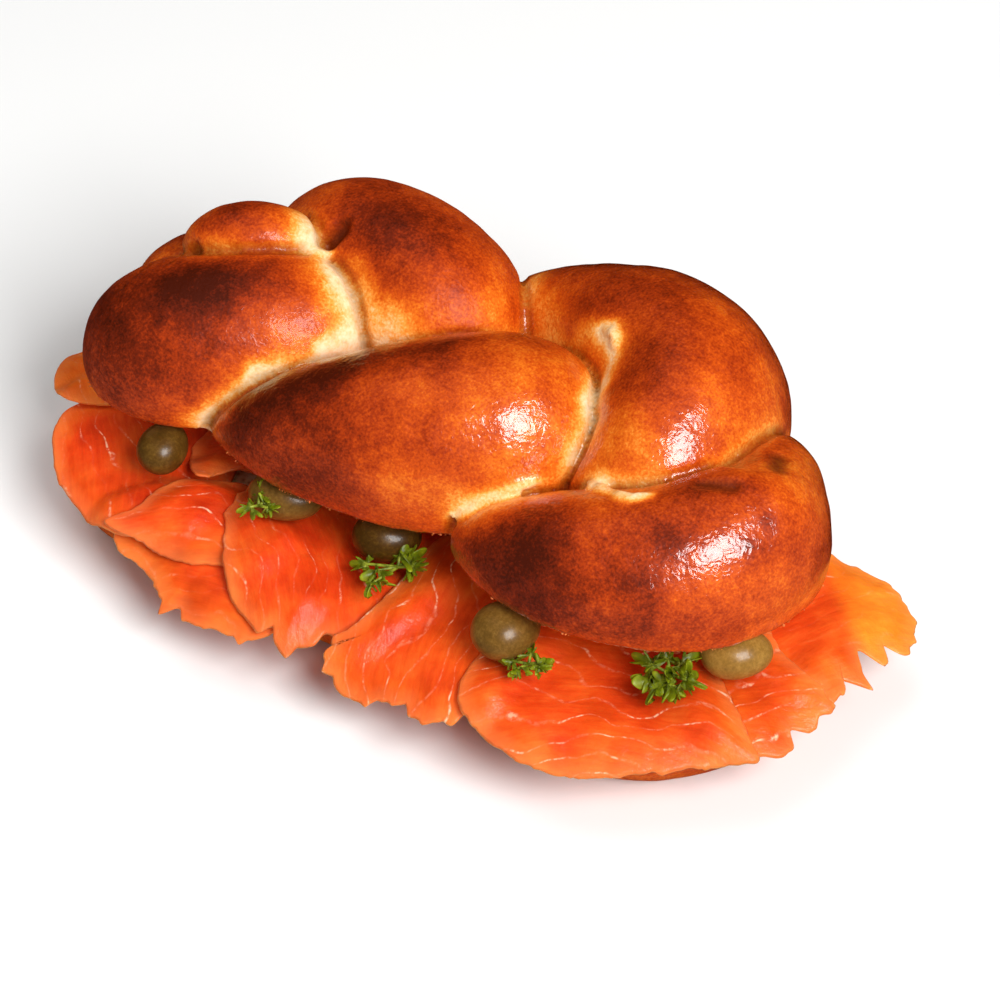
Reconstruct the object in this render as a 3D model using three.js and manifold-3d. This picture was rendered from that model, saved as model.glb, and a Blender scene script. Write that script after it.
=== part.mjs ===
// A plaited lye-dough roll cut in two and filled with smoked salmon, green olives and curly parsley.
// Millimetres, +Z up. X runs along the roll. The filling is piled out over the edge on the -Y side.
import * as THREE from "three";
import { mergeVertices } from "three/addons/utils/BufferGeometryUtils.js";
import Module from "manifold-3d";

const wasm = await Module();
wasm.setup();

// Both cut faces slope: the lower one rises a little to the back, and the upper half lies on the
// filling with its cut face coming down to the back. Heights are those over the front edge.
const FRONT_Y = -32;
const BASE_HEIGHT = 19;
const BASE_SLOPE = THREE.MathUtils.degToRad(-1.5);
const LID_HEIGHT = 38;
const LID_SLOPE = THREE.MathUtils.degToRad(7.5);

// Room left between pieces that touch.
const GAP = 0.3;

// One knot of a strand: its place (z counts from the cut face at the front), half width and half height.
const knot = (x, y, z, halfWidth, halfHeight) => ({ x, y, z, halfWidth, halfHeight });
const STRANDS = {
  leftFront: [
    knot(-85.5, -17, 3, 20, 20),
    knot(-66, -12, 4, 21, 21.5),
    knot(-46, 1, 6, 20.5, 22.5),
    knot(-27, 20, 0, 18, 20),
  ],
  leftEnd: [knot(-74, -8, 2, 18, 19.5), knot(-70, 10, -1, 15, 17.5), knot(-52, 26, -2, 16, 19)],
  tail: [knot(-73, 1, 18.5, 8, 9), knot(-59.5, 8.5, 21.5, 9.5, 10), knot(-44.5, 16, 20, 8, 9)],
  leftBack: [
    knot(-66, 24, -1, 17, 22),
    knot(-42.5, 27, 6, 20, 25),
    knot(-20, 21, 6.5, 21.5, 25.5),
    knot(-2, 8, 2, 18, 20),
  ],
  middleFront: [
    knot(-49, -24, -1, 8, 12),
    knot(-28, -19.5, 2.5, 15, 18.5),
    knot(-4, -9.5, 6, 21, 23),
    knot(14, 3, 8, 22.5, 24),
    knot(28, 15, 4, 20, 22),
  ],
  rightBack: [
    knot(-13, 36, 3.5, 16, 24),
    knot(17, 35, 5.5, 19, 26.5),
    knot(39.5, 27, 8.5, 21.8, 26.5),
    knot(43, 6, 6, 20, 25),
    knot(34.5, -11.5, 3.5, 16, 20),
  ],
  rightFront: [
    knot(14, -25, 1.5, 13, 15.5),
    knot(36, -21.5, 2.5, 17.5, 18.5),
    knot(59, -12, 3, 18.5, 21.5),
    knot(69, 4, 4, 16.5, 22),
    knot(66, 17, 5, 14, 18),
    knot(57, 29, 2, 13, 17),
  ],
  heart: [knot(-62, 4, 0, 14, 12), knot(0, 4, 0, 20, 12), knot(58, 4, 0, 14, 12)],
};
const STRAND_BLUNTNESS = 2.6;
const LID_FACETS = { rings: 18, sectors: 22 };

// The lower half is the same plait, pressed flat and wide by its own weight. The tail lies only on top.
const BASE_STRANDS = Object.keys(STRANDS).filter((name) => name !== "tail");
const BASE_MIDDLE = 11;
const BASE_HALF_HEIGHT = 13.5;
const BASE_FORWARD = 5.5;
const BASE_WIDER = 3;
const BASE_FACETS = { rings: 10, sectors: 12 };

// Outlines of the salmon slices seen from above, in the order in which they were laid.
const SLICES = {
  salmon_back_left: [
    [-82, 4], [-78, 20], [-64, 35], [-46, 46], [-26, 47], [-20, 30], [-28, 6], [-50, -4], [-72, -2],
  ],
  salmon_back_middle: [
    [-34, 8], [-33, 30], [-26, 47], [-4, 50], [18, 53], [24, 34], [20, 8], [0, 0], [-20, 0],
  ],
  salmon_back_right: [[12, 6], [14, 36], [22, 52], [42, 54], [58, 46], [69, 34], [72, 14], [56, 0], [32, -2]],
  salmon_right_end: [
    [77, 29], [85, 32], [92, 31], [98, 26], [100, 16], [97, 5],
    [97, -1], [92, -5], [82, -5], [70, -4], [58, 6], [62, 22],
  ],
  salmon_right_side: [
    [70, 6], [78, 0], [85, -4], [94, -6], [97, -9], [95, -16],
    [94, -22], [90, -26], [82, -27], [72, -22], [60, -10],
  ],
  salmon_left_under: [
    [-59, -45], [-56, -49], [-48, -50], [-41, -54], [-33, -56],
    [-25, -55], [-16, -53], [-13, -46], [-20, -36], [-50, -33],
  ],
  salmon_left_large: [
    [-80, -10], [-89, -22], [-88, -29], [-84, -35], [-78, -41], [-70, -45],
    [-62, -48], [-52, -46], [-45, -37], [-46, -20], [-56, -8], [-70, -4],
  ],
  salmon_left_over: [
    [-60, -48], [-56, -43], [-54, -34], [-51, -28], [-44, -23], [-33, -20],
    [-26, -28], [-26, -41], [-33, -45], [-40, -47], [-50, -48],
  ],
  salmon_left_tuck: [[-57, -20], [-49, -29], [-45, -23], [-37, -16], [-34, -8], [-46, -4], [-56, -10]],
  salmon_left_fold: [
    [-84, 0], [-95, -2], [-101, -7], [-98, -16], [-91, -22], [-82, -20], [-74, -14], [-70, -4], [-75, 4],
  ],
  salmon_middle_left: [
    [-38, -20], [-39, -31], [-35, -39], [-30, -46], [-25, -50], [-17, -53], [-10, -53],
    [-4, -49], [5, -40], [9, -27], [8, -12], [-8, -4], [-26, -6],
  ],
  salmon_middle_right: [
    [3, -14], [3, -32], [1, -44], [-2, -49], [1, -52], [6, -55], [15, -53],
    [26, -54], [33, -50], [35, -38], [36, -22], [24, -8], [10, -5],
  ],
  salmon_right_large: [
    [24, -20], [28, -33], [29, -44], [32, -50], [37, -52], [45, -53], [53, -53], [62, -50],
    [71, -44], [81, -36], [91, -28], [88, -26], [79, -19], [66, -10], [50, -5], [34, -8],
  ],
};
const SLICE_THICKNESS = 2.1;
const SLICE_PITCH = SLICE_THICKNESS + GAP;
const SLICE_CLEARANCE = 0.2;

// All slices share one grid of this step, so that they stack without crossing.
const SLICE_GRID = 6;

// A slice comes down beside the one it covers, from this far past its edge and over this stretch.
const SLICE_LIFT = 2.5;
const SLICE_RAMP = 7;

// The bread under the slices is uneven by this much, in waves of about these lengths.
const BED_RIPPLE = 0.25;
const BED_WAVES = [45, 38];

// Past the edge of the bread a slice bends over this stretch and then falls at this rate.
const HANG_SOFTNESS = 7;
const HANG_RATE = 0.5;

// The torn edges wander by this much between this many points.
const FRAY = 0.5;
const OUTLINE_STEPS = 32;

// An olive: where it lies, its half sizes along, across and up, and how far it is turned.
const oval = (x, y, along, across, up, turn) => ({ x, y, along, across, up, turn });
const OLIVES = {
  olive_1: oval(-57.7, -29, 5.3, 6.6, 5.1, 10),
  olive_2: oval(-26, -28, 8.2, 5.8, 5.1, 20),
  olive_3: oval(-3, -24, 7.4, 5.8, 5.2, 30),
  olive_4: oval(33.5, -34, 6.6, 7.6, 5.6, -25),
  olive_5: oval(76.4, -13.3, 7.6, 6, 5.1, 35),
};
const OLIVE_FACETS = { rings: 8, sectors: 12 };

// A sprig of parsley: where it lies, how far over the filling, its turn and lean, and its leaflets.
const leaflet = (length, width, angle) => ({ length, width, angle });
const SPRIGS = {
  parsley_1: {
    x: -31,
    y: -36.6,
    lift: 4.4,
    turn: 60,
    lean: 42,
    leaflets: [leaflet(5, 3.4, 28), leaflet(5, 3.2, -24)],
  },
  parsley_2: {
    x: 5.3,
    y: -29.6,
    lift: 1.5,
    turn: 250,
    lean: 15,
    leaflets: [leaflet(7, 4.6, 0), leaflet(7, 4, 60), leaflet(6.5, 4.3, -70), leaflet(5.6, 3.8, 150)],
  },
  parsley_3: {
    x: 43.6,
    y: -35.6,
    lift: 2.5,
    turn: 200,
    lean: 15,
    leaflets: [leaflet(6, 4, 62), leaflet(5, 3.2, -10), leaflet(5.2, 3.6, 115)],
  },
  parsley_4: {
    x: 66.7,
    y: -22.3,
    lift: 1.5,
    turn: 270,
    lean: 12,
    leaflets: [
      leaflet(9, 5.8, 0),
      leaflet(8.8, 5.6, 62),
      leaflet(8.8, 5.4, -62),
      leaflet(6.8, 4.9, 120),
      leaflet(6.8, 4.9, -120),
    ],
  },
};
const LEAF_THICKNESS = 0.5;
const LEAF_HEIGHT = 1.2;
const LEAF_RUFFLE = 0.9;
const LEAF_RUFFLES = 3;
const LEAF_SECTORS = 10;
const LEAF_TOOTH = 0.28;
const STEM_RADIUS = 0.9;

const crust = new THREE.MeshStandardMaterial({ color: 0xa8501c, roughness: 0.35, metalness: 0 });
const flesh = new THREE.MeshStandardMaterial({ color: 0xe8542a, roughness: 0.3, metalness: 0 });
const oliveSkin = new THREE.MeshStandardMaterial({ color: 0x77693a, roughness: 0.35, metalness: 0 });
const leafGreen = new THREE.MeshStandardMaterial({ color: 0x4f7a1c, roughness: 0.5, metalness: 0 });

// A repeatable random number between -1 and 1, for the torn edges.
let seed = 7;
function wander() {
  seed = (seed * 16807) % 2147483647;
  return (2 * seed) / 2147483647 - 1;
}

function toSolid(geometry) {
  const bare = geometry.clone();
  bare.deleteAttribute("normal");
  bare.deleteAttribute("uv");
  const merged = mergeVertices(bare, 1e-4);
  return new wasm.Manifold(
    new wasm.Mesh({
      numProp: 3,
      vertProperties: merged.attributes.position.array,
      triVerts: new Uint32Array(merged.index.array),
    }),
  );
}

function toGeometry(solid) {
  const mesh = solid.getMesh();
  const geometry = new THREE.BufferGeometry();
  geometry.setAttribute("position", new THREE.BufferAttribute(new Float32Array(mesh.vertProperties), 3));
  geometry.setIndex(new THREE.BufferAttribute(new Uint32Array(mesh.triVerts), 1));
  return geometry;
}

function indexedGeometry(corners, faces) {
  const geometry = new THREE.BufferGeometry();
  geometry.setAttribute("position", new THREE.Float32BufferAttribute(corners, 3));
  geometry.setIndex(faces);
  return geometry;
}

const join = (solids) => solids.reduce((whole, solid) => whole.add(solid));

// Fused pieces seal hollows between them: only the outer skin is kept, so they are filled.
const outerSkin = (solid) =>
  solid.decompose().reduce((largest, piece) => (piece.volume() > largest.volume() ? piece : largest));

const lineThrough = (points, closed = false) => new THREE.CatmullRomCurve3(points, closed, "centripetal");

// How full a strand is at a share of its length: round, blunt ends and an even middle.
const fullness = (share) => Math.sqrt(Math.max(0, 1 - Math.abs(2 * share - 1) ** STRAND_BLUNTNESS));

// A strand of dough: a sphere drawn out along a curve, with its own width and height at each knot.
function strandGeometry(knots, { rings, sectors }) {
  const line = lineThrough(knots.map((k) => new THREE.Vector3(k.x, k.y, k.z)));
  const sizes = lineThrough(knots.map((k) => new THREE.Vector3(k.halfWidth, k.halfHeight, 0)));
  const geometry = new THREE.SphereGeometry(1, sectors, rings);
  const position = geometry.attributes.position;
  const unit = new THREE.Vector3();
  const skyward = new THREE.Vector3(0, 0, 1);
  for (let i = 0; i < position.count; i++) {
    unit.fromBufferAttribute(position, i);
    const share = THREE.MathUtils.clamp((unit.y + 1) / 2, 0, 1);
    const tangent = line.getTangent(share);
    const side = skyward.clone().cross(tangent).normalize();
    const up = tangent.clone().cross(side).normalize();
    const size = sizes.getPoint(share).multiplyScalar(fullness(share));
    const angle = Math.atan2(unit.z, unit.x);
    const place = line.getPoint(share);
    place.addScaledVector(side, size.x * Math.cos(angle));
    place.addScaledVector(up, -size.y * Math.sin(angle));
    position.setXYZ(i, place.x, place.y, place.z);
  }
  return geometry;
}

// A block that fills one side of a cutting plane, which is at the given height over the front edge.
function blockBeside(height, slope, above) {
  const [breadth, depth] = [400, 120];
  const offset = above ? depth / 2 : -depth / 2;
  const block = new THREE.BoxGeometry(breadth, breadth, depth).translate(0, 0, offset);
  return toSolid(block.rotateX(-slope).translate(0, FRONT_Y, height));
}

function makeLid() {
  const strands = Object.values(STRANDS).map((knots) =>
    toSolid(strandGeometry(knots, LID_FACETS).translate(0, 0, LID_HEIGHT)),
  );
  return outerSkin(join(strands).intersect(blockBeside(LID_HEIGHT, LID_SLOPE, true)));
}

const baseKnots = BASE_STRANDS.map((name) =>
  STRANDS[name].map(({ x, y, halfWidth }) =>
    knot(x, y - BASE_FORWARD, BASE_MIDDLE, halfWidth + BASE_WIDER, BASE_HALF_HEIGHT),
  ),
);

function makeBase() {
  const strands = baseKnots.map((knots) => toSolid(strandGeometry(knots, BASE_FACETS)));
  const cut = join(strands).intersect(blockBeside(BASE_HEIGHT, BASE_SLOPE, false));
  return outerSkin(cut.intersect(blockBeside(0, 0, true)));
}

// The lower half seen from above, as rows of discs along its strands.
const DISCS_PER_STRAND = 25;
const baseDiscs = baseKnots.flatMap((knots) => {
  const line = lineThrough(knots.map((k) => new THREE.Vector3(k.x, k.y, k.halfWidth)));
  return Array.from({ length: DISCS_PER_STRAND }, (_, i) => {
    const share = i / (DISCS_PER_STRAND - 1);
    const { x, y, z } = line.getPoint(share);
    return { x, y, radius: z * fullness(share) };
  });
});

const pastBread = (x, y) =>
  Math.max(0, Math.min(...baseDiscs.map((disc) => Math.hypot(x - disc.x, y - disc.y) - disc.radius)));

// What the lowest slices lie on: the cut face, a little uneven, and the air past it, where they hang.
function bedHeight(x, y) {
  const past = pastBread(x, y);
  const [along, across] = BED_WAVES.map((wave) => (2 * Math.PI) / wave);
  const ripple = 2 + Math.sin(along * (x + 0.6 * y)) + Math.sin(across * (y - 0.4 * x));
  const drop = (HANG_RATE * past * past) / (past + HANG_SOFTNESS);
  return BASE_HEIGHT - Math.tan(BASE_SLOPE) * (y - FRONT_Y) + GAP + BED_RIPPLE * ripple - drop;
}

function tornOutline(corners) {
  return lineThrough(corners.map(([x, y]) => new THREE.Vector3(x, y, 0)), true)
    .getSpacedPoints(OUTLINE_STEPS)
    .slice(0, -1)
    .map((p) => new THREE.Vector2(p.x + FRAY * wander(), p.y + FRAY * wander()));
}

const slices = Object.entries(SLICES).map(([name, corners]) => ({ name, outline: tornOutline(corners) }));

// Distance from a place to an outline: positive inside it, negative outside.
function depthInside(outline, x, y) {
  let nearest = Infinity;
  let inside = false;
  outline.forEach((a, i) => {
    const b = outline[(i + 1) % outline.length];
    const [dx, dy] = [b.x - a.x, b.y - a.y];
    const share = THREE.MathUtils.clamp(((x - a.x) * dx + (y - a.y) * dy) / (dx * dx + dy * dy), 0, 1);
    nearest = Math.min(nearest, Math.hypot(x - a.x - share * dx, y - a.y - share * dy));
    if (a.y > y !== b.y > y && x < a.x + ((y - a.y) * dx) / dy) inside = !inside;
  });
  return inside ? nearest : -nearest;
}

// Underside of a slice: the bed, raised by each earlier slice that lies there.
function underside(turn, x, y) {
  return slices.slice(0, turn).reduce((height, { outline }) => {
    const depth = depthInside(outline, x, y);
    return height + SLICE_PITCH * THREE.MathUtils.smoothstep(depth, -SLICE_LIFT - SLICE_RAMP, -SLICE_LIFT);
  }, bedHeight(x, y));
}

// Top of the whole filling at a place, counting slices whose edge is within a millimetre of it.
function fillingHeight(x, y) {
  return slices.reduce((height, { outline }, turn) => {
    const covered = depthInside(outline, x, y) > -1;
    return covered ? Math.max(height, underside(turn, x, y) + SLICE_THICKNESS) : height;
  }, bedHeight(x, y));
}

// A closed sheet over a grid: the lower and upper surfaces are split into triangles alike.
function sheetGeometry(columns, rows, low, high) {
  const across = columns + 1;
  const layer = across * (rows + 1);
  const corners = [];
  for (const surface of [low, high]) {
    for (let row = 0; row <= rows; row++) {
      for (let column = 0; column <= columns; column++) corners.push(...surface(column, row));
    }
  }
  const faces = [];
  const wall = (a, b) => faces.push(a, b, b + layer, a, b + layer, a + layer);
  for (let row = 0; row < rows; row++) {
    for (let column = 0; column < columns; column++) {
      const a = row * across + column;
      const [b, c, d] = [a + 1, a + across + 1, a + across];
      faces.push(a, c, b, a, d, c);
      faces.push(a + layer, b + layer, c + layer, a + layer, c + layer, d + layer);
    }
    wall((row + 1) * across, row * across);
    wall(row * across + columns, (row + 1) * across + columns);
  }
  for (let column = 0; column < columns; column++) {
    wall(column, column + 1);
    wall(rows * across + column + 1, rows * across + column);
  }
  return indexedGeometry(corners, faces);
}

// One slice: a sheet on the shared grid, trimmed to its outline.
function makeSlice(turn) {
  const { outline } = slices[turn];
  const bounds = new THREE.Box2().setFromPoints(outline);
  const first = bounds.min.divideScalar(SLICE_GRID).floor().subScalar(1);
  const last = bounds.max.divideScalar(SLICE_GRID).ceil().addScalar(1);
  const surface = (rise) => (column, row) => {
    const [x, y] = [(first.x + column) * SLICE_GRID, (first.y + row) * SLICE_GRID];
    return [x, y, underside(turn, x, y) + rise];
  };
  const sheet = sheetGeometry(last.x - first.x, last.y - first.y, surface(0), surface(SLICE_THICKNESS));
  const prism = { depth: 2 * LID_HEIGHT, bevelEnabled: false };
  return toSolid(sheet).intersect(toSolid(new THREE.ExtrudeGeometry(new THREE.Shape(outline), prism)));
}

// The slices in turn, each cut clear of the lower ones where it would bite into their edges.
function makeSlices() {
  const laid = [];
  for (let turn = 0; turn < slices.length; turn++) {
    const slice = laid.reduce((rest, lower) => rest.subtract(lower.room), makeSlice(turn));
    const raised = toGeometry(slice).translate(0, 0, SLICE_CLEARANCE);
    laid.push({ slice: outerSkin(slice), room: slice.add(toSolid(raised)) });
  }
  return laid.map(({ slice }) => slice);
}

// An olive, let down until it nearly touches the filling.
function makeOlive({ x, y, along, across, up, turn }) {
  const angle = THREE.MathUtils.degToRad(turn);
  const { rings, sectors } = OLIVE_FACETS;
  let height = 0;
  for (let ring = 0; ring < rings; ring++) {
    for (let sector = 0; sector < sectors; sector++) {
      const share = ring / rings;
      const around = (2 * Math.PI * sector) / sectors;
      const spot = new THREE.Vector2(along * share * Math.cos(around), across * share * Math.sin(around));
      spot.rotateAround(new THREE.Vector2(), angle).add(new THREE.Vector2(x, y));
      height = Math.max(height, fillingHeight(spot.x, spot.y) + up * Math.sqrt(1 - share * share));
    }
  }
  const shape = new THREE.SphereGeometry(1, sectors, rings).scale(along, across, up);
  const mesh = new THREE.Mesh(shape, oliveSkin);
  mesh.position.set(x, y, height + 2 * GAP);
  mesh.rotation.z = angle;
  return mesh;
}

// One toothed and ruffled leaflet that points along +X: a thin sheet in two rings round its middle.
function leafletGeometry({ length, width }) {
  const corners = [];
  for (const rise of [0, LEAF_THICKNESS]) {
    corners.push(length / 2, 0, LEAF_HEIGHT + rise);
    for (const share of [0.45, 1]) {
      for (let sector = 0; sector < LEAF_SECTORS; sector++) {
        const around = (2 * Math.PI * sector) / LEAF_SECTORS;
        const reach = share * (1 - LEAF_TOOTH * (sector % 2) * share);
        const ruffle = LEAF_RUFFLE * share * share * Math.sin(LEAF_RUFFLES * around);
        corners.push((length / 2) * (1 + reach * Math.cos(around)));
        corners.push((width / 2) * reach * Math.sin(around));
        corners.push(LEAF_HEIGHT + rise + ruffle);
      }
    }
  }
  const layer = 1 + 2 * LEAF_SECTORS;
  const faces = [];
  const pair = (a, b, c) => faces.push(a, c, b, a + layer, b + layer, c + layer);
  for (let sector = 0; sector < LEAF_SECTORS; sector++) {
    const [a, b] = [1 + sector, 1 + ((sector + 1) % LEAF_SECTORS)];
    const [d, c] = [a + LEAF_SECTORS, b + LEAF_SECTORS];
    pair(0, a, b);
    pair(a, d, c);
    pair(a, c, b);
    faces.push(d, c, c + layer, d, c + layer, d + layer);
  }
  return indexedGeometry(corners, faces);
}

// A sprig held just over the highest part of the filling that its leaflets reach.
function makeSprig({ x, y, lift, turn, lean, leaflets }) {
  const stem = new THREE.SphereGeometry(STEM_RADIUS, 6, 4).translate(0, 0, LEAF_HEIGHT);
  const leaves = leaflets.map((leaf) => leafletGeometry(leaf).rotateZ(THREE.MathUtils.degToRad(leaf.angle)));
  const reach = Math.max(...leaflets.map(({ length }) => length));
  const heights = [0, 60, 120, 180, 240, 300].map((degrees) => {
    const around = THREE.MathUtils.degToRad(degrees);
    return fillingHeight(x + reach * Math.cos(around), y + reach * Math.sin(around));
  });
  const mesh = new THREE.Mesh(toGeometry(outerSkin(join([stem, ...leaves].map(toSolid)))), leafGreen);
  mesh.position.set(x, y, Math.max(...heights) + GAP + lift);
  mesh.rotation.set(THREE.MathUtils.degToRad(lean), 0, THREE.MathUtils.degToRad(turn));
  return mesh;
}

const roll = new THREE.Group();
const add = (name, mesh) => {
  mesh.name = name;
  roll.add(mesh);
};
add("bread_lid", new THREE.Mesh(toGeometry(makeLid()), crust));
add("bread_base", new THREE.Mesh(toGeometry(makeBase()), crust));
makeSlices().forEach((slice, turn) => add(slices[turn].name, new THREE.Mesh(toGeometry(slice), flesh)));
Object.entries(OLIVES).forEach(([name, olive]) => add(name, makeOlive(olive)));
Object.entries(SPRIGS).forEach(([name, sprig]) => add(name, makeSprig(sprig)));

// The origin lies on the table, under the middle of the whole.
const middle = new THREE.Box3().setFromObject(roll, true).getCenter(new THREE.Vector3());
roll.position.set(-middle.x, -middle.y, 0);

export default roll;
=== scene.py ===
"""Looks of a plaited lye-dough roll filled with smoked salmon, green olives and curly parsley."""

import logging
import math
from collections.abc import Sequence
from dataclasses import dataclass
from enum import Enum
from functools import partial

import bmesh
import bpy
import numpy as np
from mathutils import Matrix, Vector, noise
from mathutils.bvhtree import BVHTree


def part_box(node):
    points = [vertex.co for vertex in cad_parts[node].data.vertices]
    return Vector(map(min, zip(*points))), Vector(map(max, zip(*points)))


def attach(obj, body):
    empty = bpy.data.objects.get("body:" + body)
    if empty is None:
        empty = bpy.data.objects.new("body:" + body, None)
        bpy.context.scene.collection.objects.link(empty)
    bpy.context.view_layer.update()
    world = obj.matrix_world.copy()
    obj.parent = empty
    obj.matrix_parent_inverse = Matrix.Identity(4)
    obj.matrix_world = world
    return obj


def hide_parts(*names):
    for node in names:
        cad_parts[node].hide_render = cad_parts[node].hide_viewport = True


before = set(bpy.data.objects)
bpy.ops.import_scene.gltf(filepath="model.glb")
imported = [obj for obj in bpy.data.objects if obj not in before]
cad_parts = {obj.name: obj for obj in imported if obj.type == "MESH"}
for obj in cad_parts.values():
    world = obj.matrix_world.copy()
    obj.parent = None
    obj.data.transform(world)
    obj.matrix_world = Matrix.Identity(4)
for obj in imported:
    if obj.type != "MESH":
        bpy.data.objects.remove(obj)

LOG = logging.getLogger("pretzel_roll")
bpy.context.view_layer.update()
BODY = "root"

# Drawing millimetres to metres. The drawing's origin is moved so that olive_1 lies where model.glb has it.
MM = 0.001
OLIVE_1_DRAWN = (-57.7, -29.0)
_olive_low, _olive_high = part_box("olive_1")
SHIFT = np.array(
    [
        (_olive_low.x + _olive_high.x) / 2 / MM - OLIVE_1_DRAWN[0],
        (_olive_low.y + _olive_high.y) / 2 / MM - OLIVE_1_DRAWN[1],
        0.0,
    ]
)

# Where the two halves are cut, as in the solids: the height over the front edge and the slope to the back.
FRONT_Y = -32.0
BASE_CUT = (19.0, math.radians(-1.5))
LID_CUT = (38.0, math.radians(7.5))
GAP = 0.3


class Lobe(Enum):
    """The strands of dough, by where they lie in the plait."""

    LEFT_FRONT = "left front"
    LEFT_END = "left end"
    TAIL = "tail"
    LEFT_BACK = "left back"
    MIDDLE_FRONT = "middle front"
    RIGHT_BACK = "right back"
    RIGHT_FRONT = "right front"
    HEART = "heart"


Knots = tuple[tuple[float, float, float, float, float], ...]

# Knots of each strand: x, y, height over the lid's cut at the front, half width and half height.
PLAIT: dict[Lobe, Knots] = {
    Lobe.LEFT_FRONT: (
        (-85.5, -17, 3, 20, 20),
        (-66, -12, 4, 21, 21.5),
        (-46, 1, 6, 20.5, 22.5),
        (-27, 20, 0, 18, 20),
    ),
    Lobe.LEFT_END: ((-74, -8, 2, 18, 19.5), (-70, 10, -1, 15, 17.5), (-52, 26, -2, 16, 19)),
    Lobe.TAIL: ((-73, 1, 18.5, 8, 9), (-59.5, 8.5, 21.5, 9.5, 10), (-44.5, 16, 20, 8, 9)),
    Lobe.LEFT_BACK: (
        (-66, 24, -1, 17, 22),
        (-42.5, 27, 6, 20, 25),
        (-20, 21, 6.5, 21.5, 25.5),
        (-2, 8, 2, 18, 20),
    ),
    Lobe.MIDDLE_FRONT: (
        (-49, -24, -1, 8, 12),
        (-28, -19.5, 2.5, 15, 18.5),
        (-4, -9.5, 6, 21, 23),
        (14, 3, 8, 22.5, 24),
        (28, 15, 4, 20, 22),
    ),
    Lobe.RIGHT_BACK: (
        (-13, 36, 3.5, 16, 24),
        (17, 35, 5.5, 19, 26.5),
        (39.5, 27, 8.5, 21.8, 26.5),
        (43, 6, 6, 20, 25),
        (34.5, -11.5, 3.5, 16, 20),
    ),
    Lobe.RIGHT_FRONT: (
        (14, -25, 1.5, 13, 15.5),
        (36, -21.5, 2.5, 17.5, 18.5),
        (59, -12, 3, 18.5, 21.5),
        (69, 4, 4, 16.5, 22),
        (66, 17, 5, 14, 18),
        (57, 29, 2, 13, 17),
    ),
    Lobe.HEART: ((-62, 4, 0, 14, 12), (0, 4, 0, 20, 12), (58, 4, 0, 14, 12)),
}
BLUNTNESS = 2.6


def linear(code: str) -> tuple[float, float, float, float]:
    """Turns an sRGB hex colour into the linear colour that the shaders use.

    Args:
        code: Six hex digits with a leading hash.

    Returns:
        Linear red, green, blue and an alpha of one.
    """
    parts = [int(code[i : i + 2], 16) / 255 for i in (1, 3, 5)]
    bare = [c / 12.92 if c <= 0.04045 else ((c + 0.055) / 1.055) ** 2.4 for c in parts]
    return (bare[0], bare[1], bare[2], 1.0)


def per_mm(size: float) -> float:
    """Gives the scale of a pattern in object coordinates whose features are this many millimetres."""
    return 1.0 / (size * MM)


def add_node(
    tree: bpy.types.NodeTree,
    kind: str,
    settings: dict[str | int, object] | None = None,
    links: dict[str | int, bpy.types.NodeSocket] | None = None,
) -> bpy.types.Node:
    """Adds one node with its settings and links.

    Args:
        tree: Node tree that gets the node.
        kind: The node's type name.
        settings: Values of properties and sockets by name or socket number; "stops" fills a colour ramp.
        links: Source socket for each linked input.

    Returns:
        The new node.
    """
    node = tree.nodes.new(kind)
    for key, value in (settings or {}).items():
        if key == "stops":
            stops = node.color_ramp.elements
            while len(stops) < len(value):
                stops.new(0.5)
            for stop, (place, colour) in zip(stops, value):
                stop.position = place
                stop.color = linear(colour)
        elif isinstance(key, str) and hasattr(node, key):
            setattr(node, key, value)
        else:
            node.inputs[key].default_value = value
    for key, source in (links or {}).items():
        tree.links.new(source, node.inputs[key])
    return node


def smoothstep(values: np.ndarray, low: float, high: float) -> np.ndarray:
    """Rises smoothly from 0 at low to 1 at high."""
    part = np.clip((values - low) / (high - low), 0.0, 1.0)
    return part * part * (3.0 - 2.0 * part)


def ripple(points: np.ndarray, size: float, turn: float = 0.0) -> np.ndarray:
    """Gives smooth repeatable noise at points.

    Args:
        points: Places in millimetres.
        size: Rough size of a bump in millimetres.
        turn: Offset that picks another pattern.

    Returns:
        A value of about -1 to 1 for each point.
    """
    scaled = points / size + turn
    return np.array([noise.noise(Vector(p)) for p in scaled.tolist()])


def spline(points: np.ndarray, shares: np.ndarray, closed: bool = False) -> np.ndarray:
    """Follows a centripetal Catmull-Rom curve through points.

    Args:
        points: One row for each point.
        shares: Places along the curve, from 0 to 1.
        closed: Whether the curve returns to its first point.

    Returns:
        One row for each share.
    """
    count = len(points)
    if closed:
        padded = np.vstack([points[-1:], points, points[:2]])
        place = shares * count
        first = np.floor(place).astype(int) % count
        part = place - np.floor(place)
    else:
        padded = np.vstack([2 * points[0] - points[1], points, 2 * points[-1] - points[-2]])
        place = shares * (count - 1)
        first = np.minimum(np.floor(place).astype(int), count - 2)
        part = place - first
    p0, p1, p2, p3 = (padded[first + k] for k in range(4))
    d0, d1, d2 = (np.sum((b - a) ** 2, axis=1)[:, None] ** 0.25 for a, b in ((p0, p1), (p1, p2), (p2, p3)))
    d1 = np.where(d1 < 1e-4, 1.0, d1)
    d0 = np.where(d0 < 1e-4, d1, d0)
    d2 = np.where(d2 < 1e-4, d1, d2)
    t1 = ((p1 - p0) / d0 - (p2 - p0) / (d0 + d1) + (p2 - p1) / d1) * d1
    t2 = ((p2 - p1) / d1 - (p3 - p1) / (d1 + d2) + (p3 - p2) / d2) * d1
    w = part[:, None]
    return p1 + t1 * w + (-3 * p1 + 3 * p2 - 2 * t1 - t2) * w**2 + (2 * p1 - 2 * p2 + t1 + t2) * w**3


def coordinates(bm: bmesh.types.BMesh) -> np.ndarray:
    """Reads the places of all vertices of a bmesh."""
    return np.array([v.co for v in bm.verts], float).reshape(-1, 3)


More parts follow.
